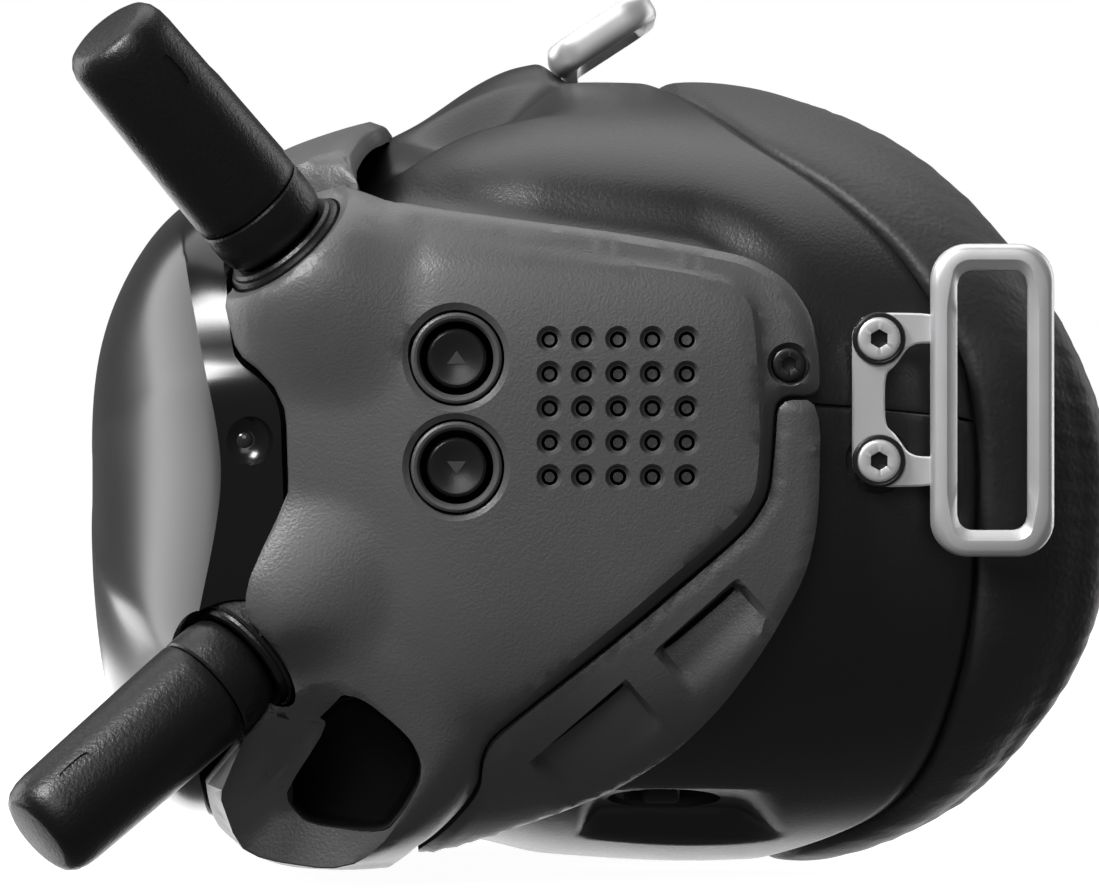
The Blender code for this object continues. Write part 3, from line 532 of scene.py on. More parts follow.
def finish(name, color, roughness, kind="moulded", metallic=0.0, values=None, sockets=None):
    """A material whose colour, roughness and normal come from one of the shared grain groups."""
    material = bpy.data.materials.new(name)
    material.use_nodes = True
    tree = material.node_tree
    shader = tree.nodes["Principled BSDF"]
    group = tree.nodes.new("ShaderNodeGroup")
    group.node_tree = GROUPS[kind]
    group.inputs["Color"].default_value = (*color, 1.0)
    group.inputs["Roughness"].default_value = roughness
    for label, value in (values or {}).items():
        group.inputs[label].default_value = value
    tree.links.new(group.outputs["Color"], shader.inputs["Base Color"])
    tree.links.new(group.outputs["Roughness"], shader.inputs["Roughness"])
    tree.links.new(group.outputs["Normal"], shader.inputs["Normal"])
    shader.inputs["Metallic"].default_value = metallic
    for label, value in (sockets or {}).items():
        shader.inputs[label].default_value = value
    return material


SHELL_GREY = finish("shell_grey_moulded", (0.08, 0.08, 0.082), 0.4,
                    values={"Grain height": 0.34})
CORE_BLACK = finish("core_black_moulded", (0.009, 0.009, 0.0095), 0.36,
                    values={"Grain height": 0.25, "Grains per metre": 2000.0})
COVER_GLOSS = finish("cover_smoked_gloss", (0.005, 0.005, 0.0055), 0.2,
                     values={"Grain height": 0.0, "Unevenness": 0.02},
                     sockets={"Specular IOR Level": 0.4})
SOFT_BLACK = finish("antenna_soft_black", (0.006, 0.006, 0.0065), 0.36,
                    values={"Grain height": 0.4, "Grains per metre": 1800.0},
                    sockets={"Specular IOR Level": 0.4})
KEY_BLACK = finish("key_satin_black", (0.01, 0.01, 0.0105), 0.3, values={"Grain height": 0.08})
DARK_PLASTIC = finish("inner_dark_plastic", (0.012, 0.012, 0.012), 0.6, values={"Grain height": 0.3})
FOAM_LEATHER = finish("foam_leatherette", (0.014, 0.014, 0.0145), 0.46, kind="leather",
                      values={"Depth": 0.35, "Pebbles per metre": 1300.0},
                      sockets={"Sheen Weight": 0.06})
STEEL = finish("strap_satin_steel", (0.72, 0.72, 0.73), 0.42, metallic=0.7,
               values={"Grain height": 0.0, "Unevenness": 0.03})
DARK_STEEL = finish("screw_black_oxide", (0.05, 0.05, 0.052), 0.36, metallic=1.0,
                    values={"Grain height": 0.1})
BOARD = finish("board_solder_mask", (0.01, 0.06, 0.03), 0.4)
SENSOR_BLACK = finish("sensor_lens_black", (0.02, 0.02, 0.022), 0.12, values={"Grain height": 0.0})
GLYPH = finish("key_arrow_grey", (0.045, 0.045, 0.047), 0.5, values={"Grain height": 0.05})


def lens_glass():
    material = finish("eye_lens_glass", (0.96, 0.97, 1.0), 0.03,
                      values={"Grain height": 0.0, "Unevenness": 0.0})
    shader = material.node_tree.nodes["Principled BSDF"]
    shader.inputs["Transmission Weight"].default_value = 1.0
    shader.inputs["IOR"].default_value = 1.5
    return material


LENS_GLASS = lens_glass()


# ---------------------------------------------------------------- hard shell

def edge_drop(distance, radius):
    """How far a rounded edge falls away at a distance from it."""
    t = np.clip(1 - distance / radius, 0, 1)
    return -radius * (1 - np.sqrt(1 - t * t * 0.98))


def side_place(skin, flat):
    """Points on a form's bare surface for rows of (y, angle)."""
    return skin.bare(flat[:, 0], flat[:, 1])


def middle_snapped(line):
    line = line.copy()
    line[0, 1], line[-1, 1] = -90.0, 90.0
    return line


def shell_front_line():
    v = np.linspace(-90, 90, 73)
    return np.stack((curve_at(COVER_EDGE, v) + LINE_GAP, v), -1)


def shell_rear_line():
    """Rear edge of the main shell from the middle of its underside to the middle of its top."""
    lower = shifted(np.array(TRIM_LINE), LINE_GAP / 2)
    lower[0] = (lower[0][0], SEAM_Z + LINE_GAP)
    side = np.vstack((on_side(OUTER, lower[::-1]), on_side(OUTER, RIDGE)))
    line = np.vstack(([(-23.5, -90), (-22.5, -80)], side, [(-23.0, 62), (-22.6, 76), (-22.5, 90)]))
    return divided(softened(line, 2), 2.2)


def shell_lift(flat, front, rear, is_left):
    """Relief of the main shell: broken edges, raised plateau and countersinks."""
    side_view = side_place(OUTER, flat)[:, 1:]
    to_rear = distance_to(flat, rear)
    lift = edge_drop(distance_to(flat, front), 0.6) + edge_drop(to_rear, 0.45)
    lift -= 1.15 * np.clip(1 - to_rear / 1.9, 0, 1)
    plateau = softened(PLATEAU, 3, closed=True)
    inward = np.where(is_inside(side_view, plateau), 1, -1) * distance_to(side_view, plateau, True)
    soft = np.interp(side_view[:, 0], (-15.0, 10.0), (4.0, 0.9))
    lift += 1.25 * smooth_step(inward / soft * 0.5 + 0.5)
    if is_left:
        for y, z in vent_centres():
            r = np.hypot(side_view[:, 0] - y, side_view[:, 1] - z)
            lift += np.interp(r, VENT_SINK, (-0.95, -0.9, 0.0))
        for z in BUTTON_Z.values():
            r = np.hypot(side_view[:, 0] - BUTTON_Y, side_view[:, 1] - z)
            lift += np.interp(r, BEZEL_SINK, (-0.7, -0.55, 0.0))
    screw = np.hypot(side_view[:, 0] - SHELL_SCREW[0], side_view[:, 1] - SHELL_SCREW[1])
    lift += np.interp(screw, SCREW_SINK, (-1.0, -0.9, 0.0))
    return lift


def antenna_axis(corner):
    """A left antenna's base point and the unit direction it points in."""
    base, axis = (np.array(t) for t in ANTENNAS[corner])
    return base, axis / np.linalg.norm(axis)


def boss_reshape(points, rim=10.6, shoulder=13.0, reach=18.5):
    """Raises a round boss, square to each antenna's axis, out of the skin."""
    moved = points.copy()
    for corner in ANTENNAS:
        base, axis = antenna_axis(corner)
        offset = moved - base
        along = offset @ axis
        away = np.linalg.norm(offset - along[:, None] * axis, axis=1)
        groove = 0.35 * np.exp(-((away - 9.2) / 0.5) ** 2)
        wanted = 0.3 - 4.6 * smooth_step((away - rim) / 5.0) - groove
        weight = 1 - smooth_step((away - shoulder) / (reach - shoulder))
        weight = np.where(points[:, 0] > 30, weight, 0.0)
        moved += ((wanted - along) * weight)[:, None] * axis
    return moved


def pod_height(y, z):
    """Plane in which the port's lip lies."""
    return 88.0 + 0.26 * (y + 17) + 0.28 * (z + 42)


def pod_reshape(points, lip):
    """Pulls the lower front out into a pod with a crisp lip and a shallow funnel inside it."""
    y, z = points[:, 1], points[:, 2]
    side_view = points[:, 1:]
    away = distance_to(side_view, lip, True)
    inside = is_inside(side_view, lip)
    reach = np.interp(0.7 * (y + 30) + 0.7 * (z + 43), (-6.0, 4.0), (1.5, 9.0))
    weight = np.where(inside, 1.0, 1 - smooth_step(away / reach))
    weight = np.where(points[:, 0] > 5, weight, 0.0)
    wanted = pod_height(y, z) - np.where(inside, np.minimum(away * 0.5, 3.4), 0.0)
    moved = points.copy()
    moved[:, 0] += (wanted - points[:, 0]) * weight
    return moved


def port_opening():
    """Edge of the port's opening inside its lip, in side view."""
    loop = divided(softened(PORT_OPENING[::-1], 2, closed=True), 1.0, closed=True)
    middle = loop.mean(0)
    return middle + (loop - middle) * 1.02


def vent_centres():
    middle = (VENT_COUNT - 1) / 2
    return [(VENT_CENTRE[0] + (i - middle) * VENT_PITCH, VENT_CENTRE[1] + (j - middle) * VENT_PITCH)
            for i in range(VENT_COUNT) for j in range(VENT_COUNT)]


def side_circle(centre, radius, count):
    return on_side(OUTER, circle(centre, radius, count))


def antenna_hole(corner, radius=SHELL_HOLE_R, count=72):
    """Edge of the round hole that an antenna's base makes in the outer skin, as (y, angle)."""
    base, axis = antenna_axis(corner)
    across, up, _ = np.array(axis_matrix(base, axis))[:3, :3].T
    turn = np.arange(count)[:, None] * math.tau / count
    ring = base + radius * (np.cos(turn) * across + np.sin(turn) * up)
    low, high = np.full(count, -18.0), np.full(count, 22.0)
    for _ in range(30):
        middle = (low + high) / 2
        place = ring + middle[:, None] * axis
        outside = place[:, 0] > OUTER.bare(place[:, 1], OUTER.angle(place[:, 1], place[:, 2]))[:, 0]
        low, high = np.where(outside, low, middle), np.where(outside, middle, high)
    place = ring + high[:, None] * axis
    return np.stack((place[:, 1], OUTER.angle(place[:, 1], place[:, 2])), -1)


def antenna_cutters():
    """Round bars that open the front cover round each antenna's base."""
    bar = [(0, -16), (COVER_HOLE_R, -16), (COVER_HOLE_R, 16), (0, 16)]
    cutters = []
    for (x, y, z), (dx, dy, dz) in ANTENNAS.values():
        for side, _ in SIDES:
            base, axis = (side * x, y, z), (side * dx, dy, dz)
            cutters.append(turned_piece("cutter", bar, 64, base, axis, DARK_PLASTIC))
    return cutters


def make_main_shell():
    front, rear = shell_front_line(), shell_rear_line()
    outline = np.vstack((front[::-1], rear))
    port = on_side(OUTER, port_opening())
    lip = divided(softened(PORT_LIP, 1, closed=True), 1.1, closed=True)
    guides = [(middle_snapped(shifted(rear, -d)), False) for d in (0.2, 0.45, 1.9)]
    guides += [(middle_snapped(shifted(front, d)), False) for d in (0.25, 0.6)]
    for grow in (0.992, 1.008):
        guides.append((on_side(OUTER, lip.mean(0) + (lip - lip.mean(0)) * grow), True))
    for steps in (-0.4, 0.4):
        plateau = divided(softened(PLATEAU, 3, closed=True), 1.2, closed=True)
        guides.append((on_side(OUTER, shifted(plateau, steps, closed=True)), True))
    parts = []
    for side, _ in SIDES:
        holes = [port, side_circle(SHELL_SCREW, SCREW_SINK[0], 32)]
        holes += [antenna_hole(corner) for corner in ANTENNAS]
        extra = [(side_circle(SHELL_SCREW, r, 32), True) for r in SCREW_SINK[1:]]
        extra += [(antenna_hole(corner, r), True) for corner in ANTENNAS for r in (9.6, 10.6, 12.0, 14.0)]
        if side > 0:
            for z in BUTTON_Z.values():
                holes.append(side_circle((BUTTON_Y, z), BEZEL_SINK[0], 56))
                extra += [(side_circle((BUTTON_Y, z), r, 56), True) for r in BEZEL_SINK[1:]]
            for centre in vent_centres():
                holes.append(side_circle(centre, VENT_SINK[0], 20))
                extra += [(side_circle(centre, r, 20), True) for r in VENT_SINK[1:]]
        else:
            holes.append(side_circle(JOYSTICK, BEZEL_SINK[0], 48))
            holes += [side_circle(centre, KEY_HOLE_R, 32) for centre in KEYS.values()]

        def lift(flat, is_left=side > 0):
            return shell_lift(flat, front, rear, is_left)

        def reshape(points):
            return pod_reshape(boss_reshape(points), lip)

        step = 1.5
        parts.append(panel_mesh(OUTER, outline, holes, guides + extra, lift, WALL, step, side, reshape))
    shell = tidy_mesh(new_piece("main_shell_skin", *joined(parts), SHELL_GREY))
    return settle(shell, "root_body", "main_shell", slot="shell_grey")


def slot_scoop(side_view):
    """Depth of the two scooped slots: a steep straight edge, a floor that runs out below it."""
    depth = np.zeros(len(side_view))
    for (y, z), (dy, dz), length, width in TRIM_SLOTS:
        along = (side_view[:, 0] - y) * dy + (side_view[:, 1] - z) * dz
        below = (side_view[:, 0] - y) * dz - (side_view[:, 1] - z) * dy
        ends = np.minimum(length / 2 + along, length / 2 - along)
        taper = np.clip(1 - below / width, 0, 1)
        steep = smooth_step(below / 0.8)
        closed_end = smooth_step(ends / 1.1)
        depth = np.maximum(depth, 2.7 * steep * taper ** 0.8 * closed_end)
    return depth


def make_trims():
    """Lower strips with their two scooped slots."""
    inner = shifted(np.array(TRIM_LINE), -LINE_GAP / 2)
    inner[0] = (inner[0][0], SEAM_Z - LINE_GAP)
    loop = softened(np.vstack((inner, TRIM_EDGE)), 2, closed=True)
    outline = divided(on_side(OUTER, loop)[::-1], 1.2, closed=True)
    guides, holes = [(shifted(outline, -d, closed=True), True) for d in (0.3, 0.9)], []
    for (y, z), (dy, dz), length, width in TRIM_SLOTS:
        centre, along, below = np.array((y, z)), np.array((dy, dz)), np.array((dz, -dy))
        for drop in (0.0, 0.3, 1.65):
            ends = [centre + along * (length / 2 * hand) + below * drop for hand in (-1, 1)]
            guides.append((on_side(OUTER, divided(np.array(ends), 0.8)), False))
        reach = length / 2 - 1.3
        corners = ((-reach, 0.55), (reach, 0.55), (reach, 1.45), (-reach, 1.45))
        slit = [centre + along * a + below * b for a, b in corners]
        holes.append(on_side(OUTER, divided(softened(slit, 2, closed=True), 0.8, closed=True)))
        for hand in (-1, 1):
            for back in (0.0, 0.55, 1.1):
                start = centre + along * (length / 2 - back) * hand
                line = np.array((start + below * 1.7, start + below * width * 0.9))
                guides.append((on_side(OUTER, divided(line, 0.8)), False))

    def lift(flat):
        return edge_drop(distance_to(flat, outline, True), 0.6) - slot_scoop(side_place(OUTER, flat)[:, 1:])

    for side, name in SIDES:
        mesh = panel_mesh(OUTER, outline, holes, guides, lift, WALL + 0.4, 1.3, side)
        trim = tidy_mesh(new_piece(f"lower_trim_skin_{name}", *mesh, SHELL_GREY))
        settle(trim, "root_body", f"lower_trim_{name}", slot="shell_grey")


COVER_CREASE = [(-62, -51.5), (-40, -49.0), (-24, -47.6), (4, -43.4), (22, -45.5), (40, -48.5),
                (62, -51.0)]
COVER_TAPER = 0.10
SENSOR = (-40.4, 0.6)
DIMPLE_R = 4.5


def make_front_cover():
    columns, side_rows, face_rows = 192, 14, 40
    v = np.arange(columns) * 360 / columns
    rise = np.sin(np.radians(v))
    power = np.where(rise > 0, 2.6 - 0.9 * rise**2, 2.6 + 0.3 * rise)
    edge_y = curve_at(COVER_EDGE, v) - LINE_GAP
    flat_side = 1 - smooth_step((np.abs(folded(v)) - 28.0) / 30.0)
    start = math.radians(24)
    layers = []
    for inset in (0.0, COVER_WALL):
        edge = OUTER.point(edge_y, v, np.full(columns, -inset))
        pole_y = COVER_POLE[0] + inset
        crease = (edge[:, 1] - curve_at(COVER_CREASE, v)) / (edge[:, 1] - pole_y)
        round_start = np.arcsin(crease ** (power / 2))
        flat_radial = 1 - COVER_TAPER * crease
        rows = []
        for t in np.linspace(0, 1, side_rows):
            lean = np.arcsin((crease * t) ** (power / 2))
            plain = np.cos(lean) ** (2 / power)
            straight = 1 + (flat_radial - 1) * t
            rows.append((plain + (straight - plain) * flat_side, crease * t))
        for t in np.linspace(0, 1, face_rows)[1:]:
            lean = round_start + (math.pi / 2 - round_start) * t ** 1.1
            plain = np.cos(lean) ** (2 / power)
            depth = np.sin(lean) ** (2 / power)
            turn = start + (math.pi / 2 - start) * t ** 1.1
            bent = flat_radial * math.cos(turn) / math.cos(start)
            bent_depth = crease + (1 - crease) * (math.sin(turn) - math.sin(start)) / (1 - math.sin(start))
            rows.append((plain + (bent - plain) * flat_side, depth + (bent_depth - depth) * flat_side))
        radial, depth = np.stack([r[0] for r in rows]), np.stack([r[1] for r in rows])
        shared = np.clip(1 - radial ** 2.2, 0, 1) ** (1 / 2.2)
        depth = shared + (depth - shared) * smooth_step((radial - 0.25) / 0.55)
        radial[-1] = 0.002
        layer = np.stack((edge[:, 0] * radial, edge[:, 1] + (pole_y - edge[:, 1]) * depth,
                          COVER_POLE[1] + (edge[:, 2] - COVER_POLE[1]) * radial), -1)
        layers.append(layer.reshape(-1, 3))
    rows = side_rows + face_rows - 1
    faces = grid_faces(rows, columns, close_columns=True)
    count = rows * columns
    faces += [tuple(i + count for i in f[::-1]) for f in grid_faces(rows, columns, close_columns=True)]
    last = (rows - 1) * columns
    faces.append(tuple(last + i for i in range(columns)))
    faces.append(tuple(count + last + i for i in range(columns))[::-1])
    faces += [(i, (i + 1) % columns, count + (i + 1) % columns, count + i) for i in range(columns)]
    cover = tidy_mesh(new_piece("front_cover_lens", np.vstack(layers), faces, COVER_GLOSS), 24.0)
    cut(cover, *antenna_cutters(), *dimple_cutters())
    return settle(tidy_mesh(cover, 24.0), "root_body", "front_cover", slot="gloss_black")


def sensor_place(side):
    y, z = SENSOR
    edge_y = float(curve_at(COVER_EDGE, 0.0))
    edge = OUTER.point(edge_y, OUTER.angle(edge_y, z))
    along = (edge_y - y) / (edge_y - COVER_POLE[0])
    return np.array((side * edge[0] * (1 - COVER_TAPER * along), y, z))


def dimple_cutters():
    cutters = []
    for side, _ in SIDES:
        arc = [math.radians(a) for a in range(-80, 81, 8)]
        ball = [(DIMPLE_R * math.cos(a), DIMPLE_R * math.sin(a)) for a in arc]
        ball = [(0, -DIMPLE_R)] + ball + [(0, DIMPLE_R)]
        place = sensor_place(side) + np.array((side * 3.2, 0, 0))
        cutters.append(turned_piece("cutter", ball, 48, tuple(place), (side, 0, 0), KEY_BLACK))
    return cutters


# ---------------------------------------------------------------- dark core and foam

SLIDER_OPENING = (61.5, 15.4, -47.0)
SLIDER_OPENING_R = 7.6


def core_relief(y, v):
    """Valley along the main shell's ridge."""
    z = PLAIN_CORE.bare(y, v)[..., 2]
    above = z - np.interp(y, (-26.0, -9.0, 20.0, 31.0), (33.5, 31.0, 26.8, 22.0))
    fade = 1 - smooth_step((y - 22.0) / 12.0)
    return -2.6 * np.exp(-((above - 2.0) / 4.2) ** 2) * fade * (z > 0)


def thumb_scoop(points):
    """Lift of the underside into a level ceiling with a steep back wall round each slider opening."""
    across, y, z = np.abs(points[..., 0]), points[..., 1], points[..., 2]
    ceiling = -47.4 + 0.2 * (across - 62.0)
    along = smooth_step((y - 3.5) / 3.5) * (1 - smooth_step((y - 24.5) / 8.0))
    weight = along * smooth_step((across - 50.5) / 3.0) * (z < -20)
    return np.maximum(ceiling - z, 0.0) * weight


def core_wall(name, angles, rows, wall=2.2):
    """Wall on the core between its hidden front edge and the foam seam, with rounded rims."""
    angles = np.asarray(angles)
    start, end = curve_at(CORE_FRONT, angles), curve_at(FOAM_SEAM, angles)
    t = np.linspace(0, 1, rows)
    y = start[:, None] + (end - start)[:, None] * t
    v = np.broadcast_to(angles[:, None], y.shape)
    to_seam = end[:, None] - y
    to_side = np.minimum(v - angles[0], angles[-1] - v) * 1.1
    lift = edge_drop(to_seam, 0.5) + edge_drop(to_side, 0.3) - 0.75 * np.clip(1 - to_seam / 2.6, 0, 1)
    lift = lift + core_relief(y, v)
    outer = CORE.point(y, v, lift)
    scoop = thumb_scoop(outer).reshape(-1)
    outer = outer.reshape(-1, 3)
    inner = CORE.point(y, v, np.minimum(core_relief(y, v), 0.0) - wall - 0.3).reshape(-1, 3)
    outer[:, 2] += scoop
    inner[:, 2] += scoop
    count = len(outer)
    faces = [f[::-1] for f in grid_faces(len(angles), rows)]
    faces += [tuple(i + count for i in f) for f in grid_faces(len(angles), rows)]
    last = (len(angles) - 1) * rows
    for k in range(rows - 1):
        faces.append((k, k + 1, k + 1 + count, k + count))
        faces.append((last + k + 1, last + k, last + k + count, last + k + 1 + count))
    for i in range(len(angles) - 1):
        a, b = i * rows, (i + 1) * rows
        faces.append((a, a + count, b + count, b))
        faces.append((a + rows - 1, b + rows - 1, b + rows - 1 + count, a + rows - 1 + count))
    return tidy_mesh(new_piece(name, np.vstack((outer, inner)), faces, CORE_BLACK), 38.0)


def rim_steps(low, high, count):
    """Angles from low to high, closer together at both ends for a crisp rounded rim."""
    inner = np.linspace(low + 1.0, high - 1.0, count)
    return np.concatenate(([low, low + 0.12, low + 0.35], inner, [high - 0.35, high - 0.12, high]))


def pocket_cutters(z):
    """Round pocket round each strap screw."""
    profile = [(0, -1.3), (4.35, -1.3), (4.35, 8), (0, 8)]
    return [turned_piece("cutter", profile, 56, (side * 85.0, STRAP_SCREW_Y, z), (side, 0, 0), CORE_BLACK)
            for side, _ in SIDES]


def make_rear_shells():
    low = float(CORE.angle(20.0, SEAM_Z))
    count = 260
    upper = core_wall("rear_shell_upper_skin", rim_steps(low + 0.15, 179.85 - low, count), 90)
    cut(upper, *pocket_cutters(STRAP_SCREW_Z[0]))
    settle(tidy_mesh(upper, 38.0), "root_body", "rear_shell_upper", slot="core_black")
    lower = core_wall("rear_shell_lower_skin", rim_steps(180.15 - low, 359.85 + low, count), 90)
    x, y, z = SLIDER_OPENING
    bar = [(0, -9), (SLIDER_OPENING_R, -9), (SLIDER_OPENING_R, 9), (0, 9)]
    openings = [turned_piece("opening", bar, 64, (side * x, y, z), (0, 0, 1), DARK_PLASTIC)
                for side, _ in SIDES]
    cut(lower, *openings, *pocket_cutters(STRAP_SCREW_Z[1]))
    settle(tidy_mesh(lower, 38.0), "root_body", "rear_shell_lower", slot="core_black")


HELD_BAND = 5.0
CLOTH_VOXEL = 0.0045
CARRY_REACH = 0.008
CARRY_POINTS = 30


def plump(piece, limit=0.7, last_frame=20):
    """Lets a coarse copy swell as pressurised cloth held at the seam, and carries that motion over."""
    copy = bpy.data.objects.new("foam_copy", piece.data.copy())
    bpy.context.scene.collection.objects.link(copy)
    remesh = copy.modifiers.new("remesh", "REMESH")
    remesh.mode = "VOXEL"
    remesh.voxel_size = CLOTH_VOXEL
    apply_modifiers(copy)
    rest = np.array([v.co[:] for v in copy.data.vertices])
    place = rest / MM - DATUM
    turn = np.degrees(np.arctan2((place[:, 2] + 4.0) / 52.0, place[:, 0] / 86.0))
    to_seam = place[:, 1] - curve_at(FOAM_SEAM, turn)
    held = copy.vertex_groups.new(name="held")
    held.add([int(i) for i in np.nonzero(to_seam < HELD_BAND)[0]], 1.0, "REPLACE")
    cloth = copy.modifiers.new("cloth", "CLOTH")
    cloth.settings.quality = 6
    cloth.settings.mass = 0.2
    cloth.settings.tension_stiffness = cloth.settings.compression_stiffness = 40.0
    cloth.settings.shear_stiffness = 15.0
    cloth.settings.bending_stiffness = 1.5
    cloth.settings.vertex_group_mass = "held"
    cloth.settings.use_pressure = True
    cloth.settings.uniform_pressure_force = 4.0
    cloth.settings.effector_weights.gravity = 0.0
    scene = bpy.context.scene
    for frame_number in range(1, last_frame + 1):
        scene.frame_set(frame_number)
    solved = copy.evaluated_get(bpy.context.evaluated_depsgraph_get())
    swollen = np.array([v.co[:] for v in solved.data.vertices])
    scene.frame_set(1)
    motion = (swollen - rest) / MM
    length = np.linalg.norm(motion, axis=1, keepdims=True)
    motion *= np.minimum(1.0, limit / np.maximum(length, 1e-9))
    tree = kdtree.KDTree(len(rest))
    for number, point in enumerate(rest):
        tree.insert(point, number)
    tree.balance()
    for vertex in piece.data.vertices:
        near = tree.find_n(vertex.co, CARRY_POINTS)
        weights = [math.exp(-(distance / CARRY_REACH) ** 2) for _, _, distance in near]
        total = sum(motion[number] * weight for (_, number, _), weight in zip(near, weights))
        vertex.co += Vector(total / sum(weights) * MM)
    old = copy.data
    bpy.data.objects.remove(copy)
    bpy.data.meshes.remove(old)
    piece.data.update()


def make_face_foam():
    """Padded ring: swells between its seam and its rolled rim, with small puckers along the seam."""
    columns = 400
    v = np.arange(columns) * 360 / columns
    start, rim = curve_at(FOAM_SEAM, v) + 0.35, curve_at(FOAM_RIM, v)
    roll = FOAM_DEPTH / 2
    along = np.concatenate((np.array((0, 0.02, 0.05, 0.1)), np.linspace(0.16, 1, 14)))
    sections = []
    for t in along:
        swell = 0.9 * math.sin(math.pi * min(t * 1.05, 1.0)) ** 0.7 - 1.1 * math.exp(-t / 0.025)
        sections.append((start + (rim - roll - start) * t, np.full(columns, swell)))
    for a in np.linspace(80, -90, 16):
        c, s = math.cos(math.radians(a)), math.sin(math.radians(a))
        sections.append((rim - roll + roll * c, np.full(columns, -roll + roll * s)))
    for t in np.linspace(0.92, 0, 10):
        sections.append((start + (rim - roll - start) * t, np.full(columns, -FOAM_DEPTH)))
    y = np.stack([s[0] for s in sections])
    out = np.stack([s[1] for s in sections])
    angle = np.broadcast_to(v, y.shape)
    pucker = 0.10 * np.sin(angle * 1.9) * np.sin(angle * 3.1 + y * 0.08)
    near_rim = np.exp(-((y - rim) / 16.0) ** 2)
    verts = PLAIN_CORE.point(y, angle, out + pucker * near_rim).reshape(-1, 3)
    faces = grid_faces(len(sections), columns, close_rows=True, close_columns=True)
    foam = tidy_mesh(new_piece("face_foam_pad", verts, faces, FOAM_LEATHER), 50.0)
    plump(foam)
    settle(foam, "root_body", "face_foam", slot="foam_black")


# ---------------------------------------------------------------- antennas

def make_antenna(corner, side):
    (x, y, z), (dx, dy, dz) = ANTENNAS[corner]
    base, axis = (side * x, y, z), (side * dx, dy, dz)
    name = f"antenna_{corner}_{'left' if side > 0 else 'right'}"
    seat = [(0, -6), (8.4, -6), (8.7, -1.5), (8.7, 0.2), (8.45, 0.55), (8.1, 0.6), (8.0, 1.0),
            (7.6, 1.35), (6.9, 1.4), (6.4, 1.1), (6.0, -2), (2.3, -2), (2.3, 6), (0, 6)]
    ring = turned_piece(f"{name}_seat_ring", seat, 72, base, axis, SOFT_BLACK)
    settle(ring, "root_body", f"{name}_seat", slot="soft_black")
    nut = [(2.9, 1.7), (6.5, 1.7), (7.0, 2.0), (7.45, 2.7), (7.55, 3.4), (7.72, 4.0), (7.78, 6.0),
           (7.75, 7.7), (7.55, 8.0), (2.9, 8.0)]
    collar = turned_piece(f"{name}_nut_collar", nut, 72, base, axis, SOFT_BLACK)
    settle(collar, f"{name}_nut_body", f"{name}_nut", slot="soft_black")
    tip = ANTENNA_TIP
    sleeve = [(0, 8.25), (7.5, 8.25), (7.72, 8.55), (7.74, 10.0), (7.66, 16.0), (7.3, tip - 4.2),
              (7.15, tip - 2.6), (6.75, tip - 1.3), (6.1, tip - 0.45), (5.3, tip - 0.1), (4.8, tip),
              (0, tip)]
    sleeve = turned_piece(f"{name}_cover", sleeve, 96, base, axis, SOFT_BLACK, sharp=40.0)
    settle(cut_mark(sleeve, base, axis, side), f"{name}_sleeve_body", f"{name}_sleeve", slot="soft_black")


def cut_mark(sleeve, base, axis, side):
    """Small pressed slot near the tip that shows which way the antenna is turned."""
    axis = Vector(axis).normalized()
    facing = Vector((side, 0, 0)) - axis * (Vector((side, 0, 0)) @ axis)
    facing.normalize()
    across = axis.cross(facing)
    turn = facing * 0.86 + across * 0.5
    turn.normalize()
    outline = softened([(-2.6, -0.75), (2.6, -0.75), (2.6, 0.75), (-2.6, 0.75)], 2, closed=True)
    centre = Vector(base) + axis * (ANTENNA_TIP - 8.2) + turn * 7.15
    side_way = axis.cross(turn)
    verts = []
    for depth in (0.0, 1.5):
        verts += [tuple(centre + axis * a + side_way * b + turn * depth) for a, b in outline]
    count = len(outline)
    faces = [tuple(range(count))[::-1], tuple(range(count, 2 * count))]
    faces += [(i, (i + 1) % count, count + (i + 1) % count, count + i) for i in range(count)]
    mark = tidy_mesh(new_piece("mark", verts, faces, DARK_PLASTIC))
    return tidy_mesh(cut(sleeve, mark), 40.0)


# ---------------------------------------------------------------- controls, vents, screws

def side_x(y, z):
    return float(OUTER.bare(y, OUTER.angle(y, z))[0])


def make_buttons():
    cap = [(0, -6.0), (3.75, -6.0), (3.95, -5.8), (3.95, -0.75), (3.85, -0.35), (3.5, -0.1),
           (3.1, -0.15), (2.2, -0.5), (1.1, -0.72), (0, -0.8)]
    bezel = [(4.85, -3.4), (6.0, -3.4), (6.0, 0.55), (5.9, 0.95), (5.6, 1.12), (5.25, 1.05),
             (4.95, 0.7), (4.85, 0.3)]
    for label, z in BUTTON_Z.items():
        base = (side_x(BUTTON_Y, z) + 0.4, BUTTON_Y, z)
        key = turned_piece(f"button_{label}_cap", cap, 64, base, (1, 0, 0), KEY_BLACK)
        settle(key, f"button_{label}_body", f"button_{label}", slot="gloss_black")
        make_arrow(label, base)
        foot = (base[0] - 0.4, BUTTON_Y, z)
        ring = turned_piece(f"button_{label}_ring", bezel, 64, foot, (1, 0, 0), SHELL_GREY)
        settle(ring, "root_body", f"button_{label}_bezel", slot="shell_grey")


def make_arrow(label, base):
    """Plain triangle printed on a channel key."""
    way = 1 if label == "up" else -1
    corners = [(-1.25, -0.75), (1.25, -0.75), (0, 1.0)]
    low, high = base[0] - 0.86, base[0] - 0.62
    verts = [(x, base[1] + a, base[2] + way * b) for x in (low, high) for a, b in corners]
    faces = [(0, 2, 1), (3, 4, 5), (0, 1, 4, 3), (1, 2, 5, 4), (2, 0, 3, 5)]
    arrow = tidy_mesh(new_piece(f"button_{label}_arrow", verts, faces, GLYPH))
    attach(arrow, f"button_{label}_body")


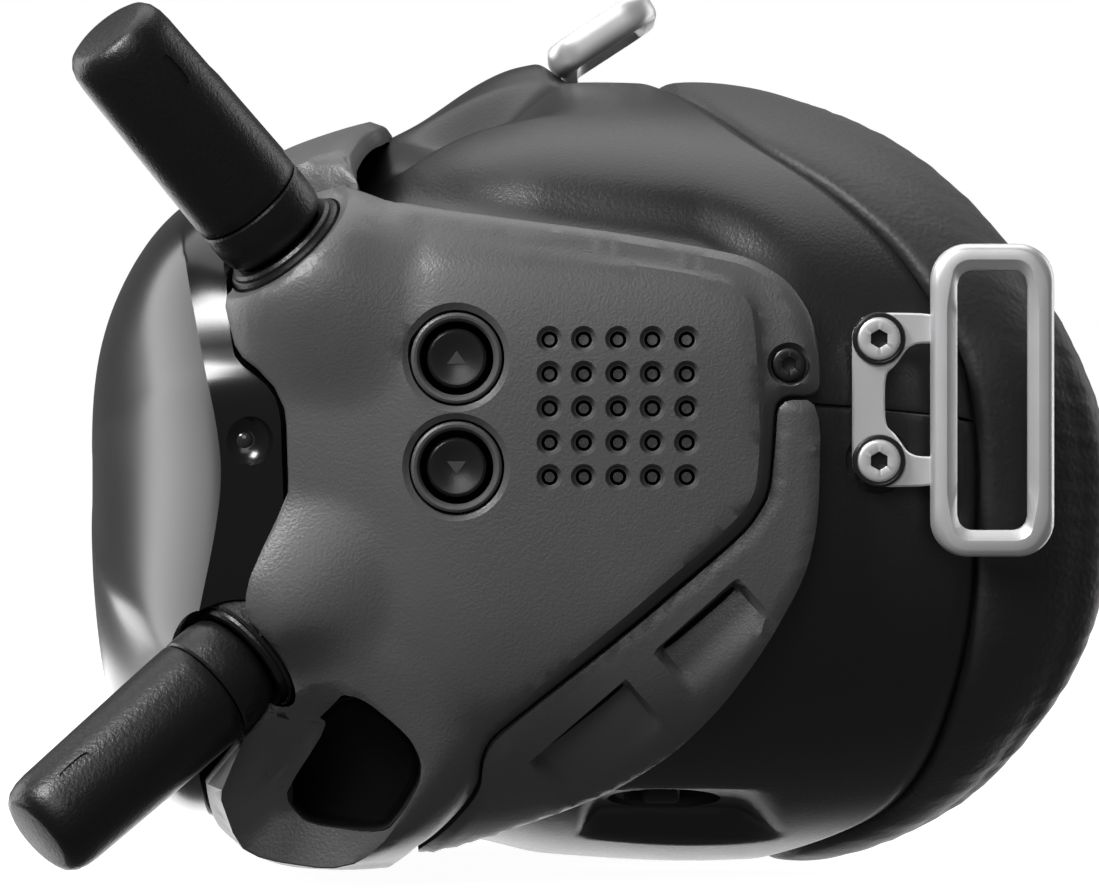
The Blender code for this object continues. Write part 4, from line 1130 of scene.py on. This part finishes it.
def stud_tree():
    """Field of turned studs: rows by columns of small cones at a pitch."""
    tree = bpy.data.node_groups.new("stud_field", "GeometryNodeTree")
    for label, kind, value in (("Rows", "NodeSocketInt", 5), ("Pitch", "NodeSocketFloat", 0.0045),
                               ("Top Radius", "NodeSocketFloat", 0.0006),
                               ("Foot Radius", "NodeSocketFloat", 0.0008),
                               ("Height", "NodeSocketFloat", 0.002)):
        tree.interface.new_socket(label, in_out="INPUT", socket_type=kind).default_value = value
    tree.interface.new_socket("Material", in_out="INPUT", socket_type="NodeSocketMaterial")
    tree.interface.new_socket("Geometry", in_out="OUTPUT", socket_type="NodeSocketGeometry")
    nodes, links = tree.nodes, tree.links
    start, end = nodes.new("NodeGroupInput"), nodes.new("NodeGroupOutput")
    less, span = nodes.new("ShaderNodeMath"), nodes.new("ShaderNodeMath")
    less.operation, span.operation = "SUBTRACT", "MULTIPLY"
    less.inputs[1].default_value = 1.0
    links.new(start.outputs["Rows"], less.inputs[0])
    links.new(less.outputs[0], span.inputs[0])
    links.new(start.outputs["Pitch"], span.inputs[1])
    grid = nodes.new("GeometryNodeMeshGrid")
    for socket in ("Size X", "Size Y"):
        links.new(span.outputs[0], grid.inputs[socket])
    for socket in ("Vertices X", "Vertices Y"):
        links.new(start.outputs["Rows"], grid.inputs[socket])
    stud = nodes.new("GeometryNodeMeshCone")
    stud.inputs["Vertices"].default_value = 20
    links.new(start.outputs["Top Radius"], stud.inputs["Radius Top"])
    links.new(start.outputs["Foot Radius"], stud.inputs["Radius Bottom"])
    links.new(start.outputs["Height"], stud.inputs["Depth"])
    place = nodes.new("GeometryNodeInstanceOnPoints")
    links.new(grid.outputs["Mesh"], place.inputs["Points"])
    links.new(stud.outputs["Mesh"], place.inputs["Instance"])
    real = nodes.new("GeometryNodeRealizeInstances")
    links.new(place.outputs["Instances"], real.inputs["Geometry"])
    paint = nodes.new("GeometryNodeSetMaterial")
    links.new(real.outputs["Geometry"], paint.inputs["Geometry"])
    links.new(start.outputs["Material"], paint.inputs["Material"])
    links.new(paint.outputs["Geometry"], end.inputs["Geometry"])
    return tree


def set_inputs(modifier, values):
    for item in modifier.node_group.interface.items_tree:
        if item.item_type == "SOCKET" and item.in_out == "INPUT" and item.name in values:
            modifier[item.identifier] = values[item.name]


def make_vents():
    """Dark plate with one stud standing in each air hole."""
    y, z = VENT_CENTRE
    x = side_x(y, z)
    studs = new_piece("vent_studs", [(0, 0, 0)], [], SHELL_GREY)
    modifier = studs.modifiers.new("studs", "NODES")
    modifier.node_group = stud_tree()
    set_inputs(modifier, {"Rows": VENT_COUNT, "Pitch": VENT_PITCH * MM, "Top Radius": 0.00066,
                          "Foot Radius": 0.00084, "Height": 0.0024, "Material": SHELL_GREY})
    apply_modifiers(studs)
    centre = (np.array((x - 2.4, y, z)) + DATUM) * MM
    studs.data.transform(Matrix.Translation(Vector(centre)) @ Matrix.Rotation(math.pi / 2, 4, "Y"))
    studs.data.shade_smooth()
    studs.data.set_sharp_from_angle(angle=math.radians(40))
    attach(studs, "root_body")
    span = VENT_PITCH * VENT_COUNT / 2
    plate = box_piece("vent_plate", (0.6, 2 * span, 2 * span), (x - 3.75, y, z), DARK_PLASTIC)
    settle(plate, "root_body", "vent_grille", slot="soft_black")


def box_piece(name, size, centre, material, bevel=0.35):
    """Block with rounded edges."""
    mesh = bmesh.new()
    bmesh.ops.create_cube(mesh, size=1.0)
    bmesh.ops.scale(mesh, vec=Vector(size), verts=mesh.verts)
    width = min(bevel, min(size) * 0.3)
    bmesh.ops.bevel(mesh, geom=list(mesh.edges), offset=width, segments=3, affect="EDGES", profile=0.5)
    bmesh.ops.translate(mesh, vec=Vector(centre), verts=mesh.verts)
    verts = [tuple(v.co) for v in mesh.verts]
    faces = [[v.index for v in f.verts] for f in mesh.faces]
    mesh.free()
    return new_piece(name, verts, faces, material)


def make_screw(name, node, head, place, side, material, slot):
    """Flat-topped screw with a hexagon socket; its head is given as (radius, height)."""
    radius, height = head
    rings = [(0.0, -1.8, 0), (0.5, -1.8, 0), (0.5, 0.0, 0), (0.97, 0.0, 0), (1.0, 0.1, 0),
             (1.0, 0.7, 0), (0.97, 0.88, 0), (0.91, 0.97, 0), (0.84, 1.0, 0), (0.44, 1.0, 0),
             (0.40, 0.97, 1), (0.38, 0.90, 1), (0.38, 0.15, 1), (0.0, 0.05, 1)]
    segments = 72
    angle = np.arange(segments) * math.tau / segments
    hexagon = math.cos(math.pi / 6) / np.cos((angle + math.pi / 6) % (math.pi / 3) - math.pi / 6)
    verts = []
    for r, z, is_hex in rings:
        reach = radius * r * (hexagon * 1.12 if is_hex else 1.0)
        level = z if z < 0 else z * height
        verts.append(np.stack((reach * np.cos(angle), reach * np.sin(angle), np.full(segments, level)), -1))
    world = np.array(axis_matrix(place, (side, 0, 0)))
    verts = np.vstack(verts) @ world[:3, :3].T + world[:3, 3]
    faces = grid_faces(len(rings), segments, close_columns=True)
    screw = new_piece(name, verts, faces, material, 28.0)
    # painted shade: the hexagon socket's walls and floor take the black key finish, darkening the recess
    # inside a head that is one metal
    screw.data.materials.append(KEY_BLACK)
    for polygon in screw.data.polygons:
        if polygon.index // segments >= 10:
            polygon.material_index = 1
    settle(tidy_mesh(screw, 28.0, 2e-6), "root_body", node, slot=slot)


def make_right_controls():
    y, z = JOYSTICK
    base = (-side_x(y, z), y, z)
    stick = [(0, -6.6), (1.5, -6.6), (1.5, -1.6), (2.4, -1.1), (4.0, -0.7), (4.5, -0.2), (4.65, 0.6),
             (4.5, 1.3), (4.0, 1.75), (3.3, 1.7), (2.0, 1.35), (0, 1.2)]
    cap = turned_piece("stick_cap", stick, 56, base, (-1, 0, 0), SOFT_BLACK)
    settle(cap, "joystick_cap_body", "joystick_cap", slot="soft_black")
    key = [(0, -3.2), (3.3, -3.2), (3.4, -3.0), (3.4, 0.0), (3.3, 0.4), (3.0, 0.62), (2.4, 0.7),
           (0, 0.62)]
    for label, (y, z) in KEYS.items():
        cap = turned_piece(f"{label}_cap", key, 48, (-side_x(y, z), y, z), (-1, 0, 0), KEY_BLACK)
        settle(cap, f"{label}_body", label, slot="soft_black")


# ---------------------------------------------------------------- strap hardware

LOOP_SIZE = (16.3, 41.2)
LOOP_CENTRE = (87.9, 58.3, 5.9)
LOOP_BAR = 3.5
LOOP_DEPTH = 4.6
LOOP_POINTS = 200
BRACKET = (86.0, 1.4)
STRAP_SCREW_Y = 43.4
STRAP_SCREW_Z = (14.0, -2.1)
TOP_LOOP = {"centre": (0.0, 7.3, 57.3), "tilt": math.radians(33), "neck_y": 2.8}


def rounded_oblong(half_a, half_b, radius, steps=12):
    points = []
    for corner, (sa, sb) in enumerate(((1, 1), (-1, 1), (-1, -1), (1, -1))):
        angle = np.radians(90 * corner + np.linspace(0, 90, steps))
        points.append(np.stack((sa * (half_a - radius) + radius * np.cos(angle),
                                sb * (half_b - radius) + radius * np.sin(angle)), -1))
    return divided(np.vstack(points), 2.5, closed=True)


def loop_ring(to_space):
    """Ring with a rounded outside, a flat band on its face and a bevel down to a thin inner lip."""
    half = [(0.0, 0.10), (0.01, 0.22), (0.05, 0.34), (0.12, 0.43), (0.2, 0.48), (0.27, 0.5), (0.6, 0.5),
            (0.63, 0.485), (0.97, 0.27), (1.0, 0.23), (1.0, 0.0)]
    section = [(d, -level) for d, level in half] + [(d, level) for d, level in half[-2::-1]]
    rings = []
    half_a, half_b = LOOP_SIZE[0] / 2, LOOP_SIZE[1] / 2
    outline = resampled(rounded_oblong(half_a, half_b, 4.8), LOOP_POINTS)
    opening = resampled(rounded_oblong(half_a - LOOP_BAR, half_b - LOOP_BAR, 2.0), LOOP_POINTS)
    for t, level in section:
        ring = outline * (1 - t) + opening * t
        rings.append([to_space(a, b, level * LOOP_DEPTH) for a, b in ring])
    verts = np.array(rings).reshape(-1, 3)
    return verts, grid_faces(len(section), LOOP_POINTS, close_rows=True, close_columns=True)


def resampled(loop, count):
    """Points on a closed loop at even angles around its middle."""
    angle = np.arctan2(loop[:, 1], loop[:, 0])
    order = np.argsort(angle)
    loop, angle = loop[order], angle[order]
    wanted = -math.pi + (np.arange(count) + 0.5) * math.tau / count
    wide = np.concatenate((angle - math.tau, angle, angle + math.tau))
    x = np.interp(wanted, wide, np.tile(loop[:, 0], 3))
    y = np.interp(wanted, wide, np.tile(loop[:, 1], 3))
    return np.stack((x, y), -1)


def plate_piece(name, outline, thickness, to_space, bevel, holes=()):
    """Stamped plate with softly broken edges."""
    flat, faces = flat_triangles(outline, list(holes), [(shifted(outline, bevel, closed=True), True)], 1.2)
    near_edge = distance_to(flat, outline, True)
    fall = -edge_drop(near_edge, bevel)
    count = len(flat)
    top = [to_space(a, b, thickness - d) for (a, b), d in zip(flat, fall)]
    bottom = [to_space(a, b, 0.0) for a, b in flat]
    result = [tuple(f) for f in faces] + [tuple(f[::-1] + count) for f in faces]
    result += [(b, a, a + count, b + count) for a, b in open_edges(faces)]
    return tidy_mesh(new_piece(name, top + bottom, result, STEEL), 30.0)


def make_side_strap(side, name):
    cx, cy, cz = LOOP_CENTRE
    y0, (high, low) = STRAP_SCREW_Y, STRAP_SCREW_Z
    ring = loop_ring(lambda a, b, c: (side * (cx + c), cy + a, cz + b))
    loop = new_piece(f"strap_loop_ring_{name}", *ring, STEEL)
    settle(tidy_mesh(loop, 24.0), "root_body", f"strap_loop_{name}", slot="satin_steel")
    eye, end = 3.5, cy - LOOP_SIZE[0] / 2 + LOOP_BAR * 0.6
    outline = [(y0 - 3.5, high - 1.5), (y0 - 3.5, high + 1.2), (y0 - 1.6, high + eye),
               (end, high + eye - 0.2), (end, high - 0.6), (y0 + 4.2, high - 0.6),
               (y0 + 2.2, high - eye), (y0 + 0.8, high - eye - 1.2), (y0 + 0.8, low + eye + 1.2),
               (y0 + 2.2, low + eye), (y0 + 4.2, low + 0.6), (end, low + 0.6), (end, low - eye + 0.2),
               (y0 - 1.6, low - eye), (y0 - 3.5, low - 1.2), (y0 - 3.5, low + 1.5)]
    outline = divided(softened(outline[::-1], 2, closed=True), 0.8, closed=True)[::-1]
    face_x, thickness = BRACKET
    plate = plate_piece(f"strap_plate_{name}", outline, thickness,
                        lambda a, b, c: (side * (face_x + c), a, b), 0.25)
    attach(plate, "root_body")
    for label, z in (("upper", high), ("lower", low)):
        place = (side * (face_x + thickness + 0.1), y0, z)
        make_screw(f"strap_screw_head_{label}_{name}", f"strap_screw_{label}_{name}", STRAP_HEAD, place,
                   side, STEEL, "satin_steel")
        sleeve = [(2.9, -1.9), (3.35, -1.9), (3.5, -1.6), (3.5, 0.35), (3.4, 0.6), (3.15, 0.72),
                  (2.95, 0.65), (2.9, 0.4)]
        washer = turned_piece(f"strap_washer_{label}_{name}", sleeve, 64, place, (side, 0, 0), KEY_BLACK)
        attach(washer, "root_body")


def make_top_strap():
    centre, tilt = TOP_LOOP["centre"], TOP_LOOP["tilt"]
    ca, sa = math.cos(tilt), math.sin(tilt)

    def to_space(a, b, c):
        return (centre[0] + b, centre[1] + a * ca - c * sa, centre[2] + a * sa + c * ca)

    loop = new_piece("strap_loop_top_ring", *loop_ring(to_space), STEEL)
    settle(tidy_mesh(loop, 24.0), "root_body", "strap_loop_top", slot="satin_steel")
    top = float(PLAIN_CORE.bare(TOP_LOOP["neck_y"], 90)[2])
    for number, x in enumerate((-8.0, 8.0)):
        place = (x, TOP_LOOP["neck_y"], top + 2.4)
        neck = box_piece(f"top_neck_{number}", (4.0, 2.4, 5.4), place, STEEL, 0.4)
        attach(neck, "root_body")


# ---------------------------------------------------------------- inside

EYE_PLACE = (32.0, 9.0, -2.0)
SLIDER_PLACE = (58.0, 15.0, -46.9)
LIP_TO_MOUTH = 3.4


def make_port_trays():
    """Dark tub behind each port opening."""
    port = port_opening()
    middle = port.mean(0)
    mouth = pod_height(port[:, 0], port[:, 1]) - LIP_TO_MOUTH
    for side, name in SIDES:
        rings = []
        # scale of the opening's outline and depth behind its mouth
        inner = ((0.985, -1.6), (0.975, -2.6), (0.93, -13.0), (0.90, -14.2), (0.84, -14.8))
        outer = ((0.86, -16.2), (1.02, -15.6), (1.04, -3.4), (1.02, -2.4), (0.995, -1.6))
        for grow, drop in inner + outer:
            ring = middle + (port - middle) * grow
            rings.append(np.stack((side * (mouth + drop), ring[:, 0], ring[:, 1]), -1))
        count = len(port)
        faces = []
        for k in (0, 1, 2, 3, 5, 6, 7, 8):
            faces += [tuple(k * count + i for i in f) for f in grid_faces(2, count, close_columns=True)]
        faces += [(9 * count + i, 9 * count + (i + 1) % count, (i + 1) % count, i) for i in range(count)]
        faces.append(tuple(4 * count + i for i in range(count)))
        faces.append(tuple(5 * count + i for i in range(count))[::-1])
        tray = tidy_mesh(new_piece(f"port_tub_{name}", np.vstack(rings), faces, DARK_PLASTIC))
        settle(tray, "root_body", f"port_tray_{name}", slot="soft_black")


def make_optics():
    barrel = [(18.2, -18), (20, -18), (20, 2.6), (20.4, 3.0), (22.0, 3.0), (22.2, 3.3), (22.2, 5.6),
              (21.8, 6.0), (20.5, 6.0), (19.2, 5.2), (18.2, 4.2)]
    lens = [(0, -3.5), (5, -3.35), (10, -2.6), (15, -1.5), (17.5, -0.8), (17.5, 0.8), (15, 1.5),
            (10, 2.6), (5, 3.35), (0, 3.5)]
    for side, name in SIDES:
        base = (side * EYE_PLACE[0], *EYE_PLACE[1:])
        ring = turned_piece(f"lens_barrel_ring_{name}", barrel, 96, base, (0, 1, 0), DARK_PLASTIC)
        settle(ring, f"eye_unit_{name}", f"lens_barrel_{name}", slot="soft_black")
        glass = turned_piece(f"eye_lens_disc_{name}", lens, 72, base, (0, 1, 0), LENS_GLASS, sharp=40.0)
        settle(glass, f"eye_unit_{name}", f"eye_lens_{name}", slot="lens_glass")
        knob = box_piece(f"ipd_slider_{name}", (6, 5, 2.6), (side * SLIDER_PLACE[0], *SLIDER_PLACE[1:]),
                         DARK_PLASTIC, 0.8)
        settle(knob, f"eye_unit_{name}", f"ipd_knob_{name}", slot="soft_black")


def make_side_sensor():
    """Small lens at the bottom of a round dimple on each side of the front cover."""
    lens = [(0, -1.0), (1.5, -1.0), (1.6, -0.3), (1.5, -0.1), (1.3, -0.1), (1.2, -0.3), (1.0, -0.1),
            (0.6, 0.1), (0, 0.15)]
    for side, name in SIDES:
        base = sensor_place(side) + np.array((-side * 1.05, 0, 0))
        dot = turned_piece(f"side_sensor_{name}", lens, 48, tuple(base), (side, -0.1, 0), SENSOR_BLACK)
        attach(dot, "root_body")


def dress_inner_nodes():
    """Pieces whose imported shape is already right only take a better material."""
    finishes = {"face_plate": DARK_PLASTIC, "main_board": BOARD, "fan_frame": DARK_PLASTIC,
                "fan_rotor": DARK_PLASTIC, "joystick_carriage": DARK_PLASTIC, "joystick_ring": DARK_PLASTIC,
                "display_left": KEY_BLACK, "display_right": KEY_BLACK}
    for node, material in finishes.items():
        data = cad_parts[node].data
        data.materials.clear()
        data.materials.append(material)


# ---------------------------------------------------------------- studio

CAMERA_DISTANCE = 1.329
CAMERA_LENS = 308.7
FLOOR_REACH = 8
FLOOR_Z = -0.0002


def make_camera():
    data = bpy.data.cameras.new("camera")
    data.lens = CAMERA_LENS
    data.sensor_width = 36.0
    camera = bpy.data.objects.new("camera", data)
    bpy.context.scene.collection.objects.link(camera)
    camera.location = (CAMERA_DISTANCE, DATUM[1] * MM, DATUM[2] * MM)
    camera.rotation_euler = (math.pi / 2, 0, math.pi / 2)
    bpy.context.scene.camera = camera


def soft_box(name, place, size, power, aim=(0, 0, 0.06)):
    data = bpy.data.lights.new(name, "AREA")
    data.shape = "RECTANGLE"
    data.size, data.size_y = size
    data.energy = power
    light = bpy.data.objects.new(name, data)
    bpy.context.scene.collection.objects.link(light)
    light.visible_camera = False
    light.location = place
    light.rotation_euler = (Vector(aim) - Vector(place)).to_track_quat("-Z", "Y").to_euler()


def make_floor():
    """Plain pale floor, kept out of the part's reflections and of the light that falls on it."""
    material = bpy.data.materials.new("pale_floor")
    material.use_nodes = True
    shader = material.node_tree.nodes["Principled BSDF"]
    shader.inputs["Base Color"].default_value = (0.35, 0.35, 0.35, 1)
    shader.inputs["Roughness"].default_value = 0.9
    shader.inputs["Specular IOR Level"].default_value = 0.0
    shader.inputs["Emission Color"].default_value = (1, 1, 1, 1)
    shader.inputs["Emission Strength"].default_value = 0.97
    data = bpy.data.meshes.new("floor")
    corners = [(x * FLOOR_REACH, y * FLOOR_REACH, FLOOR_Z) for x, y in ((-1, -1), (1, -1), (1, 1), (-1, 1))]
    data.from_pydata(corners, [], [(0, 1, 2, 3)])
    data.materials.append(material)
    floor = bpy.data.objects.new("floor", data)
    bpy.context.scene.collection.objects.link(floor)
    floor.visible_glossy = False
    floor.visible_diffuse = False


def make_world():
    """White backdrop for the camera, and a faint even light for everything else."""
    world = bpy.data.worlds.new("studio")
    world.use_nodes = True
    bpy.context.scene.world = world
    tree = world.node_tree
    faint, backdrop = tree.nodes["Background"], tree.nodes.new("ShaderNodeBackground")
    for node, strength in ((faint, 0.13), (backdrop, 1.0)):
        node.inputs["Color"].default_value = (1, 1, 1, 1)
        node.inputs["Strength"].default_value = strength
    mix, path = tree.nodes.new("ShaderNodeMixShader"), tree.nodes.new("ShaderNodeLightPath")
    tree.links.new(path.outputs["Is Camera Ray"], mix.inputs["Fac"])
    tree.links.new(faint.outputs[0], mix.inputs[1])
    tree.links.new(backdrop.outputs[0], mix.inputs[2])
    tree.links.new(mix.outputs[0], tree.nodes["World Output"].inputs["Surface"])


def make_studio():
    soft_box("top_box", (-0.35, -0.1, 1.3), (1.4, 1.4), 11.0)
    soft_box("front_box", (-0.75, -1.3, 0.35), (1.0, 1.3), 12.0)
    soft_box("back_box", (-0.8, 1.3, 0.35), (0.9, 1.3), 8.0)
    soft_box("low_box", (-0.9, 0.0, -0.25), (1.6, 0.5), 6.0)
    soft_box("key_box", (0.32, -0.34, 0.44), (0.16, 0.16), 3.4)
    soft_box("fill_box", (1.35, -0.25, 0.75), (0.7, 0.7), 5.0)
    make_world()
    make_floor()
    bpy.context.scene.view_settings.view_transform = "Standard"


# ---------------------------------------------------------------- assembly

make_camera()
make_studio()
make_front_cover()
make_main_shell()
make_trims()
make_rear_shells()
make_face_foam()
for corner_name in ANTENNAS:
    for hand in (1, -1):
        make_antenna(corner_name, hand)
make_buttons()
make_vents()
make_right_controls()
for hand, hand_name in SIDES:
    make_side_strap(hand, hand_name)
    screw_place = (hand * (side_x(*SHELL_SCREW) - 1.1), *SHELL_SCREW)
    make_screw(f"shell_screw_head_{hand_name}", f"shell_screw_{hand_name}", SHELL_HEAD, screw_place,
               hand, DARK_STEEL, "dark_steel")
make_top_strap()
make_port_trays()
make_optics()
make_side_sensor()
dress_inner_nodes()
